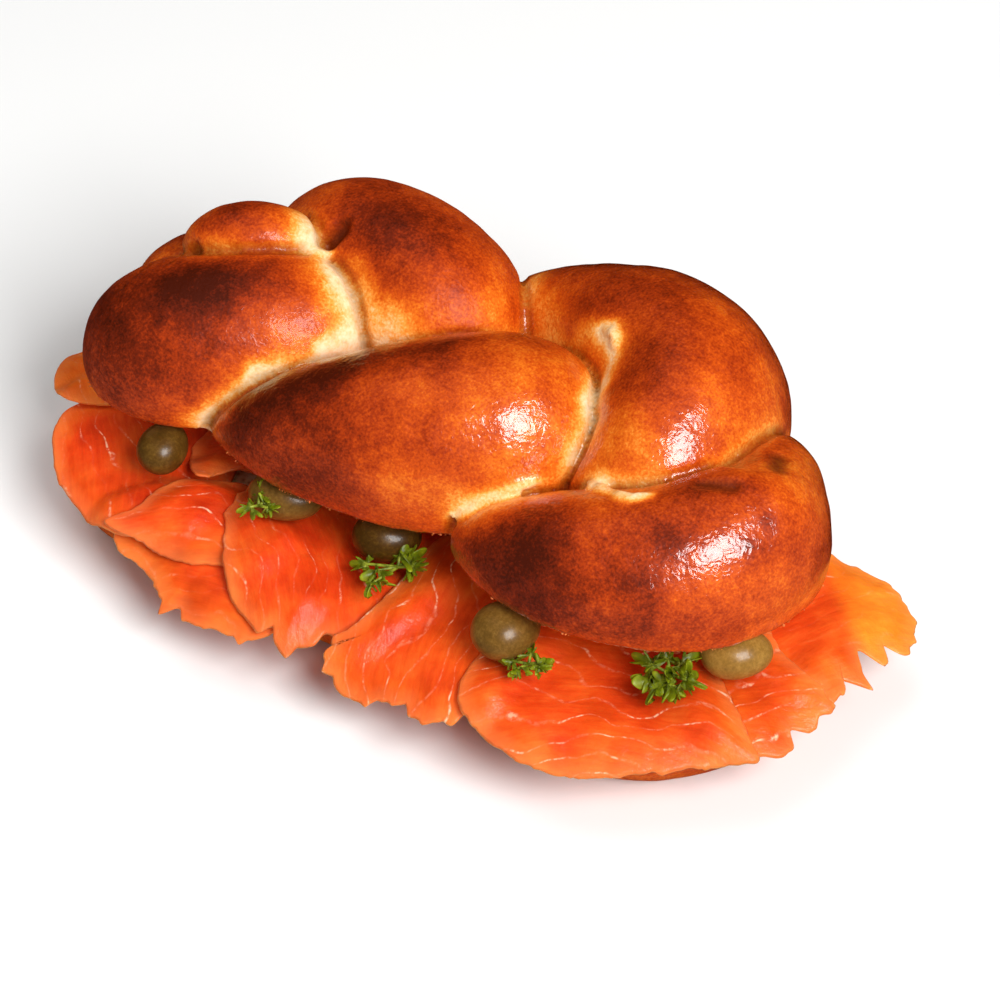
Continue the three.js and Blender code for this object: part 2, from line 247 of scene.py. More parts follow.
def move_to(bm: bmesh.types.BMesh, places: np.ndarray) -> None:
    """Puts the vertices of a bmesh at new places."""
    for vert, place in zip(bm.verts, places.tolist()):
        vert.co = place


def turn_outward(bm: bmesh.types.BMesh) -> None:
    """Makes the faces of a closed bmesh point outward, also where it is thin and folded."""
    bmesh.ops.recalc_face_normals(bm, faces=bm.faces)
    if bm.calc_volume(signed=True) < 0.0:
        bmesh.ops.reverse_faces(bm, faces=bm.faces)


def keep(mesh: bpy.types.Mesh, name: str, values: np.ndarray) -> None:
    """Keeps one number for each vertex as a named attribute.

    Args:
        mesh: Mesh that gets the attribute.
        name: The attribute's name, which a material reads.
        values: One value, or one vector, for each vertex.
    """
    vector = values.ndim == 2
    attribute = mesh.attributes.new(name, "FLOAT_VECTOR" if vector else "FLOAT", "POINT")
    attribute.data.foreach_set("vector" if vector else "value", values.astype(np.float32).ravel())


def evened(mesh: bpy.types.Mesh, values: np.ndarray, times: int) -> np.ndarray:
    """Averages each vertex's value with those of the vertices beside it.

    Args:
        mesh: Mesh whose edges say which vertices are neighbours.
        values: One value, or one vector, for each vertex.
        times: How often it is done.

    Returns:
        The evened values.
    """
    pairs = np.empty(len(mesh.edges) * 2, np.int32)
    mesh.edges.foreach_get("vertices", pairs)
    first, second = pairs.reshape(-1, 2).T
    here, there = np.concatenate([first, second]), np.concatenate([second, first])
    table = values.reshape(len(values), -1)
    total = len(table)
    beside = np.maximum(np.bincount(here, minlength=total), 1)[:, None]
    for _ in range(times):
        near = np.column_stack([np.bincount(here, column[there], total) for column in table.T])
        table = 0.5 * table + 0.5 * near / beside
    return table.reshape(values.shape)


def surface(mesh: bpy.types.Mesh) -> tuple[np.ndarray, np.ndarray]:
    """Reads the places and the normals of a mesh's vertices."""
    places, normals = np.empty((2, len(mesh.vertices) * 3))
    mesh.vertices.foreach_get("co", places)
    mesh.vertex_normals.foreach_get("vector", normals)
    return places.reshape(-1, 3), normals.reshape(-1, 3)


def to_line(places: np.ndarray, start: Sequence[float], end: Sequence[float]) -> np.ndarray:
    """Measures how far places are from a straight line.

    Args:
        places: One row for each place.
        start: One end of the line.
        end: Its other end, which may be the same point.

    Returns:
        A distance for each place.
    """
    along = np.array(end, float) - np.array(start, float)
    from_start = places - np.array(start, float)
    share = np.clip((from_start @ along) / max(along @ along, 1e-6), 0.0, 1.0)
    return np.linalg.norm(from_start - share[:, None] * along, axis=1)


def as_mesh(bm: bmesh.types.BMesh, name: str) -> bpy.types.Mesh:
    """Makes a mesh of a bmesh, which is freed."""
    mesh = bpy.data.meshes.new(name)
    bm.to_mesh(mesh)
    bm.free()
    return mesh


def put_into(whole: bmesh.types.BMesh, bm: bmesh.types.BMesh) -> None:
    """Adds one bmesh to another and frees it."""
    part = as_mesh(bm, "part")
    whole.from_mesh(part)
    bpy.data.meshes.remove(part)


def blank_material(name: str) -> tuple[bpy.types.Material, bpy.types.NodeTree]:
    """Starts a material whose node tree is empty."""
    material = bpy.data.materials.new(name)
    material.use_nodes = True
    material.node_tree.nodes.clear()
    return material, material.node_tree


def serve(
    mesh: bpy.types.Mesh, name: str, material: bpy.types.Material, slot: str, *nodes: str
) -> bpy.types.Object:
    """Makes a finished piece of a mesh that is drawn in millimetres.

    Args:
        mesh: Closed mesh in drawing millimetres.
        name: The piece's name.
        material: Its finish.
        slot: Not used.
        nodes: The solids that it stands for.

    Returns:
        The piece, at the origin, with its place in its mesh.
    """
    places = np.empty(len(mesh.vertices) * 3)
    mesh.vertices.foreach_get("co", places)
    places = (places.reshape(-1, 3) + SHIFT) * MM
    mesh.vertices.foreach_set("co", places.ravel())
    mesh.polygons.foreach_set("use_smooth", [True] * len(mesh.polygons))
    mesh.materials.clear()
    mesh.materials.append(material)
    mesh.update()
    piece = bpy.data.objects.new(name, mesh)
    bpy.context.scene.collection.objects.link(piece)
    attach(piece, BODY)
    if nodes:
        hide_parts(*nodes)
    LOG.info("%s: %d vertices", name, len(mesh.vertices))
    return piece


@dataclass(frozen=True)
class Crust:
    """Lye-dough crust brushed with egg: dark and glossy on the crowns, pale where the dough stretched."""

    roughness: float = 0.45
    specular: float = 0.2
    coat: float = 1.0
    coat_roughness: float = 0.1
    blotch: float = 10.0
    mottle: float = 2.4
    grain: float = 0.6
    ripple: float = 1.9

    def make(self) -> bpy.types.Material:
        """Builds the material from the browning, crumb and painted crease shade that each vertex carries."""
        material, tree = blank_material("egg_washed_lye_crust")
        add = partial(add_node, tree)
        place = add("ShaderNodeTexCoord").outputs["Object"]
        browning = add("ShaderNodeAttribute", {"attribute_name": "browning"}).outputs["Fac"]
        crumb = add("ShaderNodeAttribute", {"attribute_name": "crumb"}).outputs["Fac"]
        crease = add("ShaderNodeAttribute", {"attribute_name": "crease"}).outputs["Fac"]

        # Browning is patchy: wide blotches, narrow mottling and a fine felt of lighter and darker grains.
        tone = browning
        layers = ((self.blotch, 4.0, 0.34), (self.mottle, 3.0, 0.26), (self.grain, 2.0, 0.34))
        for size, detail, amount in layers:
            cloud = add(
                "ShaderNodeTexNoise",
                {"Scale": per_mm(size), "Detail": detail, "Roughness": 0.6},
                {"Vector": place},
            )
            swing = add(
                "ShaderNodeMath",
                {"operation": "MULTIPLY_ADD", 1: amount, 2: -amount / 2},
                {0: cloud.outputs["Fac"]},
            )
            summed = add("ShaderNodeMath", {"operation": "ADD"}, {0: tone, 1: swing.outputs[0]})
            tone = summed.outputs[0]
        skin = add(
            "ShaderNodeValToRGB",
            {
                "stops": (
                    (0.00, "#fbdfb6"),
                    (0.14, "#f9c583"),
                    (0.28, "#f49c3d"),
                    (0.42, "#e06d15"),
                    (0.56, "#c54a08"),
                    (0.70, "#9f3104"),
                    (0.84, "#701e03"),
                    (1.00, "#461203"),
                )
            },
            {"Fac": tone},
        )

        # Crumb: cream, with painted shade in small pores about a millimetre across.
        pore_shade = add("ShaderNodeTexVoronoi", {"Scale": per_mm(1.5)}, {"Vector": place})
        inside = add(
            "ShaderNodeValToRGB",
            {"stops": ((0.0, "#b9854f"), (0.35, "#e8c48c"), (0.8, "#f4deb4"))},
            {"Fac": pore_shade.outputs["Distance"]},
        )
        opened = add(
            "ShaderNodeMix",
            {"data_type": "RGBA"},
            {0: crumb, 6: skin.outputs["Color"], 7: inside.outputs["Color"]},
        )
        # Painted shade: the seams between strands and the dents are darkened towards dark brown.
        deep = add("ShaderNodeMath", {"operation": "MULTIPLY", 1: 0.8}, {0: crease})
        colour = add(
            "ShaderNodeMix",
            {"data_type": "RGBA", 7: linear("#4a1b06")},
            {0: deep.outputs[0], 6: opened.outputs[2]},
        )

        # The wash dries in fine ripples, which break up the reflection of a lamp.
        waves = add(
            "ShaderNodeTexNoise",
            {"Scale": per_mm(self.ripple), "Detail": 2.5, "Roughness": 0.5, "Distortion": 1.2},
            {"Vector": place},
        )
        first = add(
            "ShaderNodeBump", {"Strength": 0.6, "Distance": 0.3 * MM}, {"Height": waves.outputs["Fac"]}
        )
        fine = add(
            "ShaderNodeTexNoise", {"Scale": per_mm(self.grain), "Detail": 2.0}, {"Vector": place}
        )
        bump = add(
            "ShaderNodeBump",
            {"Strength": 0.4, "Distance": 0.08 * MM},
            {"Height": fine.outputs["Fac"], "Normal": first.outputs["Normal"]},
        )
        glazed = add("ShaderNodeAttribute", {"attribute_name": "wash"}).outputs["Fac"]
        gloss = add(
            "ShaderNodeMapRange",
            {"From Min": 0.1, "From Max": 0.45, "To Min": 0.15, "To Max": self.coat},
            {"Value": browning},
        )
        spread = add(
            "ShaderNodeMath", {"operation": "MULTIPLY"}, {0: gloss.outputs["Result"], 1: glazed}
        )
        bare = add("ShaderNodeMath", {"operation": "SUBTRACT", 0: 1.0}, {1: crumb})
        wash = add(
            "ShaderNodeMath", {"operation": "MULTIPLY"}, {0: spread.outputs[0], 1: bare.outputs[0]}
        )
        shader = add(
            "ShaderNodeBsdfPrincipled",
            {
                "Roughness": self.roughness,
                "IOR": 1.45,
                "Specular IOR Level": self.specular,
                "Coat Roughness": self.coat_roughness,
                "Coat IOR": 1.55,
            },
            {
                "Base Color": colour.outputs[2],
                "Coat Weight": wash.outputs[0],
                "Normal": bump.outputs["Normal"],
                "Coat Normal": bump.outputs["Normal"],
            },
        )
        add("ShaderNodeOutputMaterial", links={"Surface": shader.outputs[0]})
        return material


@dataclass(frozen=True)
class SmokedSalmon:
    """Cold-smoked salmon cut thin: wet, translucent, red-orange, with broken white lines of fat."""

    roughness: float = 0.48
    coat: float = 0.2
    coat_roughness: float = 0.13
    fat_spacing: float = 5.0
    fat_width: float = 0.36
    faint_fat: float = 0.16
    cloud_size: float = 11.0
    wet_ripple: float = 1.1

    def make(self) -> bpy.types.Material:
        """Builds the material from each vertex's place in the muscle and its depth inside the edge."""
        material, tree = blank_material("cold_smoked_salmon")
        add = partial(add_node, tree)
        place = add("ShaderNodeTexCoord").outputs["Object"]
        muscle = add("ShaderNodeAttribute", {"attribute_name": "muscle"}).outputs["Vector"]
        edge = add("ShaderNodeAttribute", {"attribute_name": "edge"}).outputs["Fac"]
        warmth = add("ShaderNodeAttribute", {"attribute_name": "warmth"}).outputs["Fac"]
        fattiness = add("ShaderNodeAttribute", {"attribute_name": "fat"}).outputs["Fac"]

        # Flesh: deeper where it is thick; lighter and yellower towards the thin edges, as painted light
        # shining through the thin flesh.
        cloud = add(
            "ShaderNodeTexNoise", {"Scale": per_mm(self.cloud_size), "Detail": 3.0}, {"Vector": place}
        )
        stretched = add(
            "ShaderNodeMapping", {"Scale": (0.09, 0.75, 1.0)}, {"Vector": muscle}
        )
        fibre = add(
            "ShaderNodeTexNoise",
            {"Scale": 1.0, "Detail": 3.0, "Roughness": 0.6},
            {"Vector": stretched.outputs[0]},
        )
        part = add(
            "ShaderNodeMath", {"operation": "MULTIPLY_ADD", 1: 1.1, 2: -0.33}, {0: cloud.outputs["Fac"]}
        )
        tone = add(
            "ShaderNodeMath",
            {"operation": "MULTIPLY_ADD", 1: 0.42},
            {0: fibre.outputs["Fac"], 2: part.outputs[0]},
        )
        flesh = add(
            "ShaderNodeValToRGB",
            {"stops": ((0.15, "#b82806"), (0.42, "#dc4110"), (0.70, "#ef5f20"), (1.0, "#f98443"))},
            {"Fac": tone.outputs[0]},
        )
        golden = add(
            "ShaderNodeValToRGB",
            {"stops": ((0.15, "#ee6f16"), (0.5, "#fa8c22"), (0.9, "#fdab3c"))},
            {"Fac": tone.outputs[0]},
        )
        body = add(
            "ShaderNodeMix",
            {"data_type": "RGBA"},
            {0: warmth, 6: flesh.outputs["Color"], 7: golden.outputs["Color"]},
        )
        # Painted light: the flesh is lightened towards the thin edge, as if light shone through it.
        thin = add(
            "ShaderNodeMapRange",
            {"From Min": 0.1, "From Max": 3.5, "To Min": 0.26, "To Max": 0.0},
            {"Value": edge},
        )
        painted_edge_light = add(
            "ShaderNodeMix",
            {"data_type": "RGBA", 7: linear("#fc9a5c")},
            {0: thin.outputs["Result"], 6: body.outputs[2]},
        )

        # Fat: lines between the muscle flakes, millimetres apart, bent by noise and broken into strokes.
        apart = add("ShaderNodeSeparateXYZ", links={"Vector": muscle})
        bend = add("ShaderNodeTexNoise", {"Scale": 0.045, "Detail": 2.5}, {"Vector": muscle})
        bent = add(
            "ShaderNodeMath",
            {"operation": "MULTIPLY_ADD", 1: 26.0},
            {0: bend.outputs["Fac"], 2: apart.outputs["Y"]},
        )
        turns = add(
            "ShaderNodeMath", {"operation": "DIVIDE", 1: self.fat_spacing}, {0: bent.outputs[0]}
        )
        swing = add("ShaderNodeMath", {"operation": "PINGPONG", 1: 0.5}, {0: turns.outputs[0]})
        line = add(
            "ShaderNodeMapRange",
            {
                "From Min": 0.25 * self.fat_width / self.fat_spacing,
                "From Max": self.fat_width / self.fat_spacing,
                "To Min": 1.0,
                "To Max": 0.0,
            },
            {"Value": swing.outputs[0]},
        )
        strokes = add("ShaderNodeTexNoise", {"Scale": 0.24, "Detail": 1.5}, {"Vector": muscle})
        broken = add(
            "ShaderNodeMapRange",
            {"From Min": 0.52, "From Max": 0.62, "To Min": 0.0, "To Max": 0.85},
            {"Value": strokes.outputs["Fac"]},
        )
        faint = add(
            "ShaderNodeMapRange",
            {"From Min": 0.0, "From Max": 1.0, "To Min": self.faint_fat, "To Max": 1.0},
            {"Value": broken.outputs["Result"]},
        )
        beads = add("ShaderNodeTexNoise", {"Scale": 1.1, "Detail": 2.0}, {"Vector": muscle})
        beaded = add(
            "ShaderNodeMapRange",
            {"From Min": 0.40, "From Max": 0.58, "To Min": 0.1, "To Max": 1.0},
            {"Value": beads.outputs["Fac"]},
        )
        stroke = add(
            "ShaderNodeMath",
            {"operation": "MULTIPLY"},
            {0: line.outputs["Result"], 1: faint.outputs["Result"]},
        )
        patches = add("ShaderNodeTexNoise", {"Scale": 0.075, "Detail": 1.0}, {"Vector": muscle})
        shown = add(
            "ShaderNodeMath",
            {"operation": "MULTIPLY_ADD", 1: 0.55},
            {0: fattiness, 2: patches.outputs["Fac"]},
        )
        patchy = add(
            "ShaderNodeMapRange",
            {"From Min": 0.6, "From Max": 0.95, "To Min": 0.1, "To Max": 1.0},
            {"Value": shown.outputs[0]},
        )
        showing = add(
            "ShaderNodeMath", {"operation": "MULTIPLY"}, {0: stroke.outputs[0], 1: patchy.outputs["Result"]}
        )
        fat = add(
            "ShaderNodeMath", {"operation": "MULTIPLY"}, {0: showing.outputs[0], 1: beaded.outputs["Result"]}
        )
        colour = add(
            "ShaderNodeMix",
            {"data_type": "RGBA", 7: linear("#ffc9a4")},
            {0: fat.outputs[0], 6: painted_edge_light.outputs[2]},
        )

        wet = add(
            "ShaderNodeTexNoise",
            {"Scale": per_mm(self.wet_ripple), "Detail": 3.0, "Roughness": 0.6},
            {"Vector": place},
        )
        broad = add(
            "ShaderNodeBump", {"Strength": 0.7, "Distance": 0.22 * MM}, {"Height": wet.outputs["Fac"]}
        )
        bump = add(
            "ShaderNodeBump",
            {"Strength": 0.6, "Distance": 0.25 * MM},
            {"Height": fibre.outputs["Fac"], "Normal": broad.outputs["Normal"]},
        )
        shader = add(
            "ShaderNodeBsdfPrincipled",
            {
                "Roughness": self.roughness,
                "IOR": 1.4,
                "Subsurface Weight": 0.35,
                "Subsurface Radius": (1.0, 0.35, 0.15),
                "Subsurface Scale": 3.0 * MM,
                "Specular IOR Level": 0.22,
                "Coat Weight": self.coat,
                "Coat Roughness": self.coat_roughness,
                "Coat IOR": 1.4,
            },
            {
                "Base Color": colour.outputs[2],
                "Normal": bump.outputs["Normal"],
                "Coat Normal": bump.outputs["Normal"],
            },
        )
        add("ShaderNodeOutputMaterial", links={"Surface": shader.outputs[0]})
        return material


@dataclass(frozen=True)
class OliveSkin:
    """Green olive from brine: taut, olive brown to tan, finely speckled, wet."""

    roughness: float = 0.35
    coat_roughness: float = 0.14
    cloud_size: float = 4.0
    speck_size: float = 0.7

    def make(self) -> bpy.types.Material:
        """Builds the material; each vertex says how ripe its olive is."""
        material, tree = blank_material("brined_green_olive_skin")
        add = partial(add_node, tree)
        place = add("ShaderNodeTexCoord").outputs["Object"]
        ripeness = add("ShaderNodeAttribute", {"attribute_name": "ripeness"}).outputs["Fac"]
        cloud = add(
            "ShaderNodeTexNoise", {"Scale": per_mm(self.cloud_size), "Detail": 3.0}, {"Vector": place}
        )
        specks = add(
            "ShaderNodeTexNoise",
            {"Scale": per_mm(self.speck_size), "Detail": 2.0, "Roughness": 0.7},
            {"Vector": place},
        )
        part = add(
            "ShaderNodeMath", {"operation": "MULTIPLY_ADD", 1: 0.6, 2: -0.1}, {0: cloud.outputs["Fac"]}
        )
        tone = add(
            "ShaderNodeMath",
            {"operation": "MULTIPLY_ADD", 1: 0.6},
            {0: specks.outputs["Fac"], 2: part.outputs[0]},
        )
        green = add(
            "ShaderNodeValToRGB",
            {"stops": ((0.2, "#2a1902"), (0.5, "#462c07"), (0.85, "#6b4c17"))},
            {"Fac": tone.outputs[0]},
        )
        tan = add(
            "ShaderNodeValToRGB",
            {"stops": ((0.2, "#704e18"), (0.5, "#936a2b"), (0.85, "#b88c44"))},
            {"Fac": tone.outputs[0]},
        )
        colour = add(
            "ShaderNodeMix",
            {"data_type": "RGBA"},
            {0: ripeness, 6: green.outputs["Color"], 7: tan.outputs["Color"]},
        )
        bump = add(
            "ShaderNodeBump", {"Strength": 0.4, "Distance": 0.08 * MM}, {"Height": specks.outputs["Fac"]}
        )
        shader = add(
            "ShaderNodeBsdfPrincipled",
            {
                "Roughness": self.roughness,
                "IOR": 1.42,
                "Specular IOR Level": 0.3,
                "Coat Weight": 0.22,
                "Coat Roughness": self.coat_roughness,
                "Subsurface Weight": 0.1,
                "Subsurface Radius": (0.9, 0.8, 0.3),
                "Subsurface Scale": 2.0 * MM,
            },
            {
                "Base Color": colour.outputs[2],
                "Normal": bump.outputs["Normal"],
                "Coat Normal": bump.outputs["Normal"],
            },
        )
        add("ShaderNodeOutputMaterial", links={"Surface": shader.outputs[0]})
        return material


@dataclass(frozen=True)
class ParsleyLeaf:
    """Fresh curly parsley: thin crisp leaf, with painted light towards the outer edges of its leaflets and
    painted shade towards their middles.
    """

    roughness: float = 0.42
    cloud_size: float = 1.6

    def make(self) -> bpy.types.Material:
        """Builds the material; each vertex says how far out on its leaflet it is, which sets its painted
        light and shade.
        """
        material, tree = blank_material("curly_parsley_leaf")
        add = partial(add_node, tree)
        place = add("ShaderNodeTexCoord").outputs["Object"]
        outward = add("ShaderNodeAttribute", {"attribute_name": "outward"}).outputs["Fac"]
        cloud = add(
            "ShaderNodeTexNoise", {"Scale": per_mm(self.cloud_size), "Detail": 3.0}, {"Vector": place}
        )
        tone = add(
            "ShaderNodeMath", {"operation": "MULTIPLY_ADD", 1: 0.7, 2: -0.2}, {0: cloud.outputs["Fac"]}
        )
        shade_and_tone = add(
            "ShaderNodeMath", {"operation": "MULTIPLY_ADD", 1: 0.5}, {0: outward, 2: tone.outputs[0]}
        )
        # Painted light towards the outer edges of each leaflet, painted shade towards its middle and on the
        # stalks, with random tone.
        colour = add(
            "ShaderNodeValToRGB",
            {"stops": ((0.0, "#a2ac36"), (0.25, "#465004"), (0.6, "#73800a"), (1.0, "#bac22e"))},
            {"Fac": shade_and_tone.outputs[0]},
        )
        bump = add(
            "ShaderNodeBump", {"Strength": 0.5, "Distance": 0.1 * MM}, {"Height": cloud.outputs["Fac"]}
        )
        shader = add(
            "ShaderNodeBsdfPrincipled",
            {
                "Roughness": self.roughness,
                "IOR": 1.42,
                "Specular IOR Level": 0.3,
                "Coat Weight": 0.08,
                "Coat Roughness": 0.2,
                "Subsurface Weight": 0.15,
                "Subsurface Radius": (0.6, 0.8, 0.1),
                "Subsurface Scale": 1.0 * MM,
            },
            {"Base Color": colour.outputs["Color"], "Normal": bump.outputs["Normal"]},
        )
        add("ShaderNodeOutputMaterial", links={"Surface": shader.outputs[0]})
        return material


@dataclass(frozen=True)
class Strand:
    """One strand of dough: a ball drawn out along a curve, with its own width and height at each knot."""

    knots: Knots
    lift: float = 0.0

    def frame_at(self, shares: np.ndarray) -> tuple[np.ndarray, np.ndarray, np.ndarray, np.ndarray]:
        """Works out where the strand runs and how thick it is.

        Args:
            shares: Places along the strand, from 0 to 1.

        Returns:
            The middle, the side and up directions, and the half width and height at each place.
        """
        table = np.array(self.knots, float)
        line = table[:, :3] + (0.0, 0.0, self.lift)
        sizes = np.column_stack([table[:, 3:], np.zeros(len(table))])
        step = 1e-4
        ahead = spline(line, np.minimum(shares + step, 1.0)) - spline(line, np.maximum(shares - step, 0.0))
        ahead /= np.linalg.norm(ahead, axis=1)[:, None]
        side = np.cross([0.0, 0.0, 1.0], ahead)
        side /= np.linalg.norm(side, axis=1)[:, None]
        full = np.sqrt(np.maximum(0.0, 1.0 - np.abs(2.0 * shares - 1.0) ** BLUNTNESS))
        half = spline(sizes, shares)[:, :2] * full[:, None]
        return spline(line, shares), side, np.cross(ahead, side), half

    def skin(self, rings: int = 96, sectors: int = 96) -> bmesh.types.BMesh:
        """Makes the strand's closed skin.

        Args:
            rings: Faces along the strand.
            sectors: Faces around it.

        Returns:
            A new bmesh in drawing millimetres.
        """
        bm = bmesh.new()
        bmesh.ops.create_uvsphere(bm, u_segments=sectors, v_segments=rings, radius=1.0)
        unit = coordinates(bm)
        shares = np.clip((unit[:, 2] + 1.0) / 2.0, 0.0, 1.0)
        middle, side, up, half = self.frame_at(shares)
        angle = np.arctan2(unit[:, 1], unit[:, 0])
        sideways = side * (half[:, :1] * np.cos(angle)[:, None])
        upward = up * (half[:, 1:] * np.sin(angle)[:, None])
        move_to(bm, middle + sideways + upward)
        turn_outward(bm)
        return bm


@dataclass(frozen=True)
class Bake:
    """A place that browned more or less than the rest: a line on one strand, its reach and how much."""

    lobe: Lobe
    start: tuple[float, float, float]
    end: tuple[float, float, float]
    reach: float
    amount: float

    def apply(
        self, places: np.ndarray, owners: np.ndarray, lobes: list[Lobe | None], uneven: np.ndarray
    ) -> np.ndarray:
        """Gives the change of browning at each vertex.

        Args:
            places: The vertices' places.
            owners: The number of the strand that each vertex is nearest to.
            lobes: The strands by number.
            uneven: How far the change's edge wanders at each vertex, in reaches.

        Returns:
            What is added to the browning.
        """
        away = to_line(places, self.start, self.end) / self.reach
        mine = owners == lobes.index(self.lobe)
        return np.where(mine, self.amount * np.exp(-1.1 * np.maximum(away + uneven, 0.0) ** 2), 0.0)


@dataclass(frozen=True)
class Pit:
    """A dent or small hole: a line, how wide and deep round it, and the way in which it is pressed."""

    start: tuple[float, float, float]
    end: tuple[float, float, float]
    width: float
    depth: float
    way: tuple[float, float, float]


LID_BAKES = (
    Bake(Lobe.LEFT_FRONT, (-76, -18, 58), (-55, -13, 64), 9, 0.20),
    Bake(Lobe.LEFT_FRONT, (-62, -14, 63), (-45, -2, 66), 6, 0.22),
    Bake(Lobe.LEFT_FRONT, (-75, -26, 53), (-67, -32, 45), 8, 0.14),
    Bake(Lobe.LEFT_FRONT, (-67, -28, 54), (-52, -22, 57), 10, 0.16),
    Bake(Lobe.LEFT_FRONT, (-40, -8, 62), (-47, -23, 54), 8, -0.12),
    Bake(Lobe.LEFT_FRONT, (-48, -26, 42), (-39, -18, 50), 5, -0.42),
    Bake(Lobe.LEFT_FRONT, (-39, -18, 50), (-28, -3, 54), 5, -0.36),
    Bake(Lobe.LEFT_FRONT, (-41, 8, 64), (-29, -1, 57), 7, -0.20),
    Bake(Lobe.LEFT_FRONT, (-37, 10, 62), (-26, 3, 52), 5.5, -0.60),
    Bake(Lobe.LEFT_BACK, (-33, 12, 64), (-22, 3, 54), 3.5, -0.22),
    Bake(Lobe.LEFT_BACK, (-39, 18, 69), (-30, 22, 69), 9, 0.14),
    Bake(Lobe.LEFT_BACK, (-28, 16, 68), (-17, 17, 68), 8, 0.12),
    Bake(Lobe.LEFT_BACK, (-45, 25, 68), (-23, 30, 69), 10, 0.11),
    Bake(Lobe.LEFT_BACK, (-20, 5, 59), (-2, 21, 58), 8, -0.24),
    Bake(Lobe.LEFT_BACK, (-2, 24, 56), (-2, 26, 56), 3, 0.14),
    Bake(Lobe.LEFT_BACK, (-12, 7, 60), (-5, 14, 60), 3, 0.14),
    Bake(Lobe.LEFT_BACK, (-10, 27, 65), (-4, 27, 59), 5, -0.08),
    Bake(Lobe.MIDDLE_FRONT, (-37, -25, 51), (-23, -15, 61), 8, 0.24),
    Bake(Lobe.MIDDLE_FRONT, (-23, -15, 61), (-4, -2, 67), 7, 0.22),
    Bake(Lobe.MIDDLE_FRONT, (-26, -27, 56), (-8, -27, 56), 10, 0.14),
    Bake(Lobe.MIDDLE_FRONT, (-35, -30, 44), (-8, -32, 42), 8, 0.16),
    Bake(Lobe.MIDDLE_FRONT, (2, -30, 49), (13, -24, 46), 7, -0.10),
    Bake(Lobe.MIDDLE_FRONT, (21, 17, 58), (28, 7, 59), 6, -0.20),
    Bake(Lobe.MIDDLE_FRONT, (28, 7, 59), (30, -4, 55), 6, -0.20),
    Bake(Lobe.MIDDLE_FRONT, (30, -6, 54), (16, -22, 46), 5, -0.20),
    Bake(Lobe.MIDDLE_FRONT, (-2, 0, 67), (12, 16, 62), 6, 0.09),
    Bake(Lobe.MIDDLE_FRONT, (18, 6, 66), (24, -6, 62), 10, -0.12),
    Bake(Lobe.RIGHT_BACK, (-3, 33, 57), (5, 26, 57), 5, -0.30),
    Bake(Lobe.RIGHT_BACK, (16, 30, 67), (29, 33, 72), 9, 0.12),
    Bake(Lobe.RIGHT_BACK, (17, 23, 63), (24, 21, 66), 3.2, -0.30),
    Bake(Lobe.RIGHT_BACK, (24, 21, 66), (28.5, 13, 62), 3.4, -0.50),
    Bake(Lobe.RIGHT_BACK, (29, 10, 61), (33, 0, 57), 3.0, -0.20),
    Bake(Lobe.RIGHT_BACK, (37, 14, 70), (40, 10, 69), 9, 0.15),
    Bake(Lobe.RIGHT_BACK, (43, -2, 63), (41, -6, 59), 8, -0.16),
    Bake(Lobe.RIGHT_BACK, (60, 13, 60), (63, 22, 54), 7, -0.20),
    Bake(Lobe.RIGHT_BACK, (38, -10, 55), (51, -7, 57), 3.4, -0.36),
    Bake(Lobe.RIGHT_FRONT, (61, -6, 63), (70, -1, 64), 5, 0.13),
    Bake(Lobe.RIGHT_FRONT, (19, -30, 44), (38, -33, 50), 11, 0.17),
    Bake(Lobe.RIGHT_FRONT, (38, -31, 52), (58, -28, 55), 9, 0.18),
    Bake(Lobe.RIGHT_FRONT, (46, -33, 44), (62, -32, 45), 7, 0.12),
    Bake(Lobe.RIGHT_FRONT, (19, -26, 47), (33, -14, 54), 4.5, -0.30),
    Bake(Lobe.RIGHT_FRONT, (62, -18, 61), (63, -18, 61), 4.5, 0.16),
    Bake(Lobe.RIGHT_FRONT, (76, -10, 58), (76, -10, 58), 2.8, 0.18),
    Bake(Lobe.RIGHT_FRONT, (77, -3, 60), (77, -3, 60), 2.0, 0.16),
    Bake(Lobe.RIGHT_FRONT, (77, 4, 61), (78, 4, 60), 2.2, 0.14),
    Bake(Lobe.RIGHT_FRONT, (74, 10, 61), (79, 12, 56), 7, -0.12),
    Bake(Lobe.RIGHT_FRONT, (37, -33, 31), (56, -33, 37), 4, 0.10),
    Bake(Lobe.TAIL, (-52, 9, 70), (-48, 14, 69), 4, -0.16),
    Bake(Lobe.TAIL, (-67, 3, 67), (-63, 8, 69), 3.6, 0.20),
    Bake(Lobe.TAIL, (-61, 3, 68), (-57, 11, 69), 3, 0.06),
    Bake(Lobe.TAIL, (-60, 0, 63), (-46, 11, 64), 2.6, -0.20),
    Bake(Lobe.TAIL, (-52, 16, 67), (-46, 13, 65), 3.6, -0.30),
)

# Torn dough that stands up along the seams, as thin rolls: x, y, z over the cut, half width, half height.
LID_TEARS: tuple[Knots, ...] = (
    (
        (13.5, -25.5, 6, 0.8, 0.8), (16, -23, 8.5, 1.5, 1.0), (19, -20.5, 10.8, 1.0, 0.9),
        (23.5, -16, 13.3, 1.5, 1.0), (28, -11, 13.8, 0.8, 0.8),
    ),
    (
        (37, -9.5, 17, 1.0, 0.9), (41, -11, 18.7, 1.7, 1.1), (45, -12.5, 20.2, 1.2, 1.0),
        (50, -13.3, 22, 1.9, 1.2), (54.5, -10.5, 23.4, 1.1, 0.9),
    ),
    ((21, 22.5, 27, 0.9, 0.9), (25, 21, 28.6, 1.6, 1.1), (27.5, 17.5, 27, 1.0, 0.9)),
    ((-45.5, 10.5, 25.2, 0.7, 0.7), (-44, 12, 25.4, 1.2, 0.8), (-41.5, 13, 24.8, 0.7, 0.6)),
)
LID_WASH = {
    Lobe.LEFT_FRONT: 0.16,
    Lobe.LEFT_END: 0.5,
    Lobe.TAIL: 0.2,
    Lobe.LEFT_BACK: 0.0,
    Lobe.MIDDLE_FRONT: 1.0,
    Lobe.RIGHT_BACK: 0.95,
    Lobe.RIGHT_FRONT: 1.0,
}
